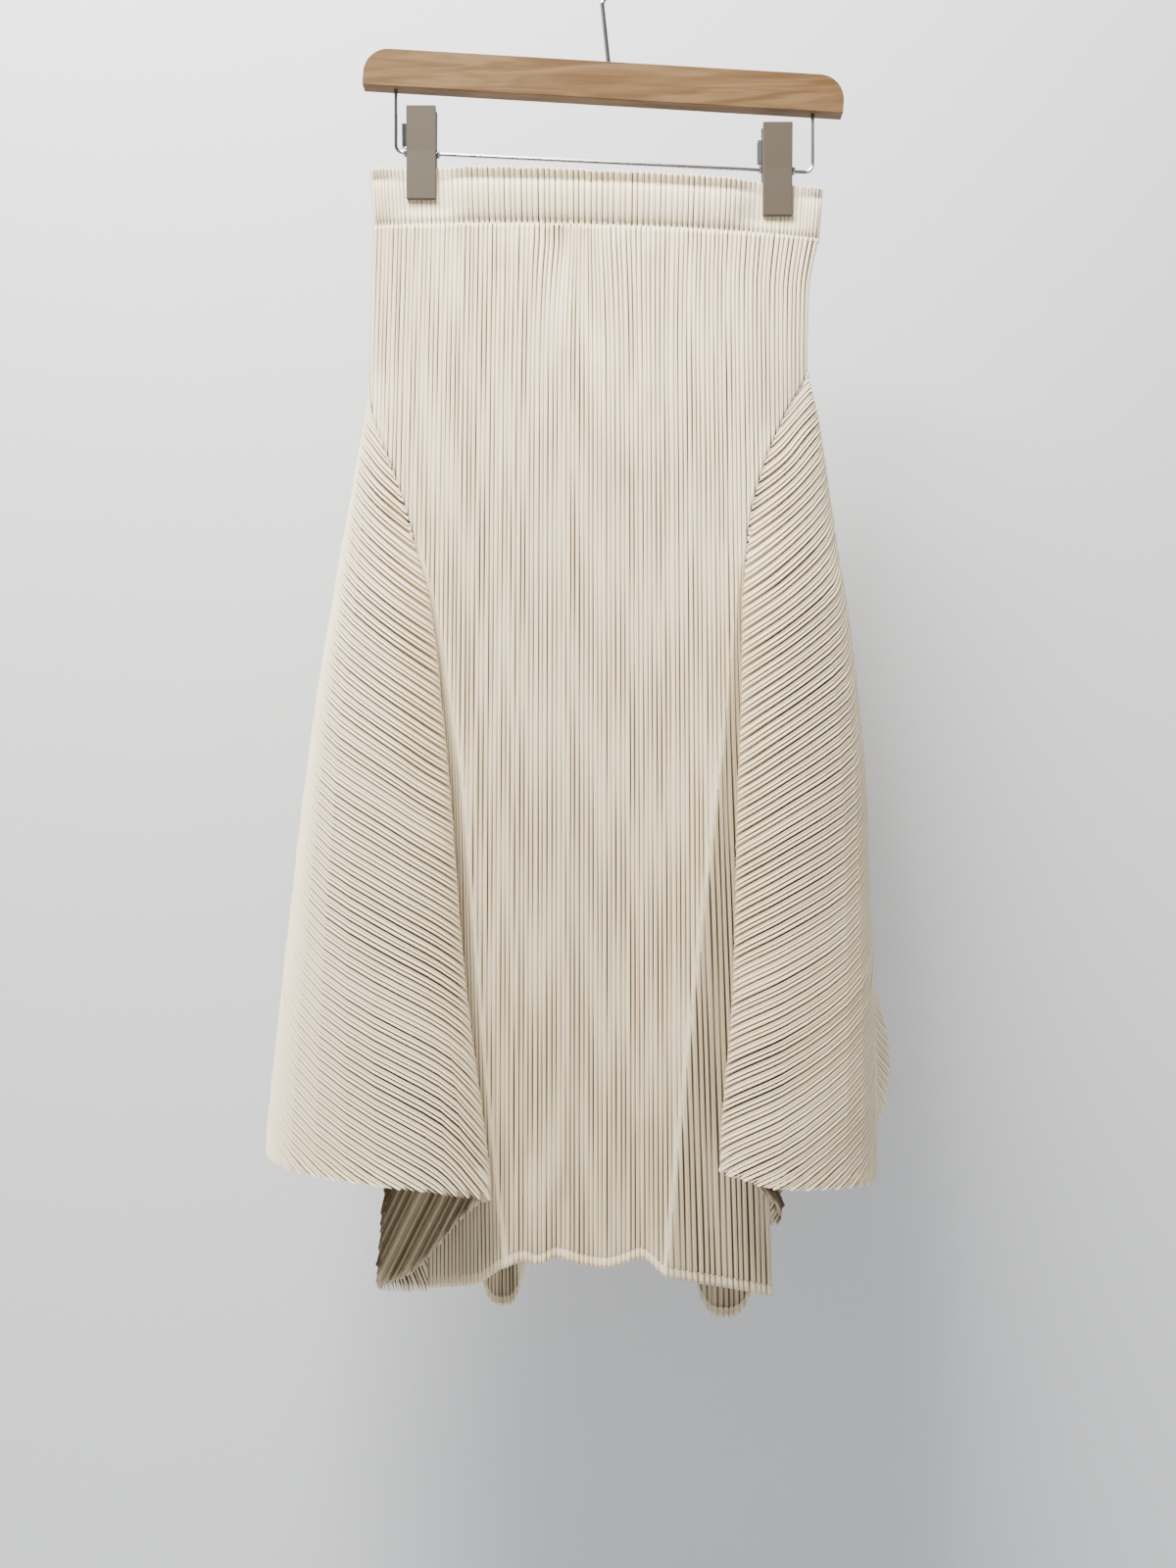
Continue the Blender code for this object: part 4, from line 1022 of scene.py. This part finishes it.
def band_cloth(seed):
    random = np.random.default_rng(seed)
    where, height, groove_shade = pleat_lines(0.0, 2.0, 1.0 / BAND_PLEATS, BAND_PROFILE, BAND_WANDER, seed)
    along = np.where(where <= 1.0, where, 2.0 - where)
    eased = (1 - np.cos(math.pi * along)) / 2
    left, right = BAND_ENDS["left"], BAND_ENDS["right"]
    x = between(left, right, between(along, eased, END_EASE))
    front_side = where <= 1.0
    from_end = np.minimum(x - left, right - x)
    round_end = np.sqrt(np.clip(1 - (1 - np.minimum(from_end / END_ROUND, 1.0)) ** 2, 0.0, 1.0))
    table = columns(BAND_ROWS, BAND_ROW_COLUMNS)
    shares = np.linspace(0.0, table["share"][-1], BAND_FINE_ROWS)
    pinch = clip_pinch(x)
    pucker = np.exp(-((x - PUCKER_X) / PUCKER_WIDTH) ** 2) * front_side
    ragged = random.uniform(-RAGGED, RAGGED, len(x))
    ragged = ragged - PUCKER_DROP * pucker * random.uniform(0.0, 1.0, len(x))
    rows, painted_shades = [], []
    for share in shares:
        wave = smooth(table["share"], table["wave"], share)
        tuck = smooth(table["share"], table["tuck"], share)
        open_here = between(BAND_OPEN_TOP, BAND_OPEN_SEAM, share)
        off_centre = np.abs(2 * (x - left) / (right - left) - 1)
        face = open_here * (1 - off_centre ** FACE_SQUARENESS) + BAND_END_DEPTH
        hold = pinch * np.clip((1 - share) / (1 - PINCH_BOTTOM), 0.0, 1.0)
        deep = between(face, BAND_PINCHED, hold)
        gathered = math.exp(-((share - GATHER_LINE) / GATHER_WIDTH) ** 2)
        gathered = gathered + math.exp(-((share - FRILL_LINE) / FRILL_WIDTH) ** 2)
        rough = pucker * gathered * random.uniform(-PUCKER_ROUGH, PUCKER_ROUGH, len(x))
        deep = deep + (height * wave + rough - tuck) * (1 - HELD_FLAT * hold)
        deep = deep * round_end
        z = between(band_top_z(x), band_seam_z(x), share) + ragged * max(0.0, 1 - share / RAGGED_FADE)
        drawn_in = CENTRE_X + (x - CENTRE_X) * (1 - BAND_TAPER * share)
        rows.append(np.stack([drawn_in, np.where(front_side, -deep, deep * BACK_DEPTH), z], axis=1))
        # Painted shade under the frill's stitches and along the gathered seam, and in the pleat grooves,
        # paler where a clip holds the band flat.
        shade = (FRILL_SHADE * math.exp(-((share - FRILL_LINE) / FRILL_SHADE_WIDTH) ** 2)
                 + GATHER_SHADE * math.exp(-((share - GATHER_LINE) / GATHER_SHADE_WIDTH) ** 2))
        dark = groove_shade * (GROOVE_LEAST + GROOVE_WAVE * wave) * (1 - HELD_PALE * hold)
        painted_shades.append(dark + shade * random.uniform(SHADE_LEAST, 1.0, len(x)))
    grid = np.array(rows)
    piece = cloth_object("waistband_cloth", [(grid, np.array(painted_shades), False)], cloth)
    return belongs(piece, "cloth", "waistband"), grid, shares


band, band_grid, band_shares = band_cloth(BAND_SEED)
print("waistband points:", len(band.data.vertices))

# %% [markdown]
# ## The sewing
#
# The stitches show as short dashes of thread that bridge the pleats: one line under the frill, one
# at the gathered seam, and one 7 mm above each straight hem. Each dash is a thin bar laid on the
# ridge of a pleat, raised just clear of the cloth.

# %% Stitches
STITCH_RADIUS = 0.28
STITCH_LIFT = 0.25


def stitch_bars(name, dashes):
    """One mesh of thin four-sided bars, one a stitch."""
    points, faces = [], []
    for start, end in dashes:
        start, end = Vector(start), Vector(end)
        along = (end - start).normalized()
        side = along.cross(Vector((0.0, 0.0, 1.0))).normalized() * STITCH_RADIUS
        up = along.cross(side).normalized() * STITCH_RADIUS
        first = len(points)
        for middle in (start, end):
            points += [middle + side, middle + up, middle - side, middle - up]
        faces += [(first + k, first + (k + 1) % 4, first + 4 + (k + 1) % 4, first + 4 + k) for k in range(4)]
        faces += [(first + 3, first + 2, first + 1, first), (first + 4, first + 5, first + 6, first + 7)]
    mesh = bpy.data.meshes.new(name)
    mesh.from_pydata([p * MM for p in points], [], faces)
    mesh.materials.append(thread)
    piece = bpy.data.objects.new(name, mesh)
    bpy.context.scene.collection.objects.link(piece)
    return belongs(piece, "cloth")


def dashes_on_row(grid, row, outward, first=2, per_pleat=4):
    """A stitch over each pleat's ridge along one row of a grid."""
    normal = grid_normals(grid)[row] * outward
    line = grid[row] + normal * STITCH_LIFT
    return [(line[j], line[j + 2]) for j in range(first, len(line) - 3, per_pleat)]


hem_row = -len(HEM_ROWS) + HEM_ROWS.index(STITCH_ROW)
front_dashes = dashes_on_row(front_grid, hem_row, 1.0, per_pleat=len(FRONT_PROFILE))
front_stitches = stitch_bars("front_hem_stitches", front_dashes)
back_stitches = stitch_bars("back_hem_stitches", dashes_on_row(back_grid, hem_row, -1.0))
frill_row = int(np.argmin(np.abs(band_shares - FRILL_LINE)))
gather_row = int(np.argmin(np.abs(band_shares - GATHER_LINE)))
band_dashes = dashes_on_row(band_grid, frill_row, 1.0, first=1)
band_dashes += dashes_on_row(band_grid, gather_row, 1.0, first=1)
band_stitches = stitch_bars("band_stitches", band_dashes)
print("stitches:", len(band_dashes))

# %% [markdown]
# ## The area of each sheet
#
# The panels are cut to a curve, so their areas are printed, each measured over its raised grid.
# For the front and back these grids leave out the small parts beside the hip seams.


def shown_area(grid):
    """The area of a raised grid, in square metres."""
    a, b, c, d = grid[:-1, :-1], grid[:-1, 1:], grid[1:, 1:], grid[1:, :-1]
    first = np.linalg.norm(np.cross(b - a, c - a), axis=2)
    second = np.linalg.norm(np.cross(c - a, d - a), axis=2)
    return float((first + second).sum() / 2 * MM * MM)


CLOTH_GRIDS = {"front": front_grid, "back": back_grid, "band": band_grid,
               "left": sides["left"][1], "right": sides["right"][1]}
print("areas:", {name: shown_area(grid) for name, grid in CLOTH_GRIDS.items()})

# %% [markdown]
# ## Stage, light and camera
#
# A plain pale wall hangs behind the skirt and a pale floor lies far below. One large soft light
# from above the left shoulder lights the pleats' relief and throws the soft shadow to the lower
# right; the pleats' lines come from that relief together with painted groove shade. A weak fill and
# an even world light the shaded strips, whose warm tan is painted shade. The camera stands level,
# 1.25 m in front of the hook. Seen from behind, the wall is clear, so the skirt's back can be looked
# at too.

# %% The wall and the floor
WALL_Y = 0.23
FLOOR_Z = -1.5
STAGE_HALF = 2.4
PALE = (0.655, 0.668, 0.69, 1.0)
CAMERA_AT = (-0.0115, -1.25, -0.620)
LENS = 39.3
FIRST_SHADER, SECOND_SHADER = 1, 2

pale, pale_tree, pale_shader = new_material("pale_stage", Base_Color=PALE, Roughness=0.85)
facing = pale_tree.nodes.new("ShaderNodeNewGeometry")
clear = pale_tree.nodes.new("ShaderNodeBsdfTransparent")
either = pale_tree.nodes.new("ShaderNodeMixShader")
pale_tree.links.new(facing.outputs["Backfacing"], either.inputs["Fac"])
pale_tree.links.new(pale_shader.outputs["BSDF"], either.inputs[FIRST_SHADER])
pale_tree.links.new(clear.outputs["BSDF"], either.inputs[SECOND_SHADER])
pale_tree.links.new(either.outputs["Shader"], pale_tree.nodes["Material Output"].inputs["Surface"])


def stage_plane(name, corners):
    mesh = bpy.data.meshes.new(name)
    mesh.from_pydata(corners, [], [(0, 1, 2, 3)])
    mesh.materials.append(pale)
    plane = bpy.data.objects.new(name, mesh)
    bpy.context.scene.collection.objects.link(plane)


stage_plane("wall", [(-STAGE_HALF, WALL_Y, FLOOR_Z), (STAGE_HALF, WALL_Y, FLOOR_Z),
                     (STAGE_HALF, WALL_Y, STAGE_HALF), (-STAGE_HALF, WALL_Y, STAGE_HALF)])
stage_plane("floor", [(-STAGE_HALF, -STAGE_HALF, FLOOR_Z), (STAGE_HALF, -STAGE_HALF, FLOOR_Z),
                      (STAGE_HALF, WALL_Y, FLOOR_Z), (-STAGE_HALF, WALL_Y, FLOOR_Z)])
print("the wall stands", WALL_Y, "m behind the hook")

# %% [markdown]
# ### The lamps and the room
#
# The key lamp is near and large, so its shadow has a soft edge. The fill is far and weak, and the
# world gives the rest evenly.

# %% Lamps and world
KEY = {"place": (-0.50, -0.80, 1.02), "target": (0.0, 0.0, -0.40), "size": 0.9, "watts": 148.0,
       "colour": (1.0, 0.985, 0.955)}
FILL = {"place": (0.9, -2.2, -0.3), "target": (0.0, 0.0, -0.7), "size": 2.0, "watts": 7.0,
        "colour": (0.97, 0.98, 1.0)}
ROOM_COLOUR = (0.95, 0.97, 1.0, 1.0)
ROOM_STRENGTH = 0.26


def area_light(name, place, target, size, watts, colour):
    light = bpy.data.lights.new(name, "AREA")
    light.size = size
    light.energy = watts
    light.color = colour
    lamp = bpy.data.objects.new(name, light)
    lamp.location = place
    lamp.rotation_euler = (Vector(target) - Vector(place)).to_track_quat("-Z", "Y").to_euler()
    bpy.context.scene.collection.objects.link(lamp)


area_light("key", **KEY)
area_light("fill", **FILL)

world = bpy.data.worlds.new("soft_room")
bpy.context.scene.world = world
world.use_nodes = True
world.node_tree.nodes["Background"].inputs["Color"].default_value = ROOM_COLOUR
world.node_tree.nodes["Background"].inputs["Strength"].default_value = ROOM_STRENGTH
print("key lamp:", KEY["watts"], "W, fill:", FILL["watts"], "W, room:", ROOM_STRENGTH)

# %% [markdown]
# ### The camera
#
# It looks level at the middle of the skirt, with the lens that gives the photo's frame.

# %% Camera
camera = bpy.data.cameras.new("camera")
camera.lens = LENS
camera_object = bpy.data.objects.new("camera", camera)
camera_object.location = CAMERA_AT
camera_object.rotation_euler = (math.pi / 2, 0.0, 0.0)
bpy.context.scene.collection.objects.link(camera_object)
bpy.context.scene.camera = camera_object
print("camera at", CAMERA_AT, "with a", LENS, "mm lens")
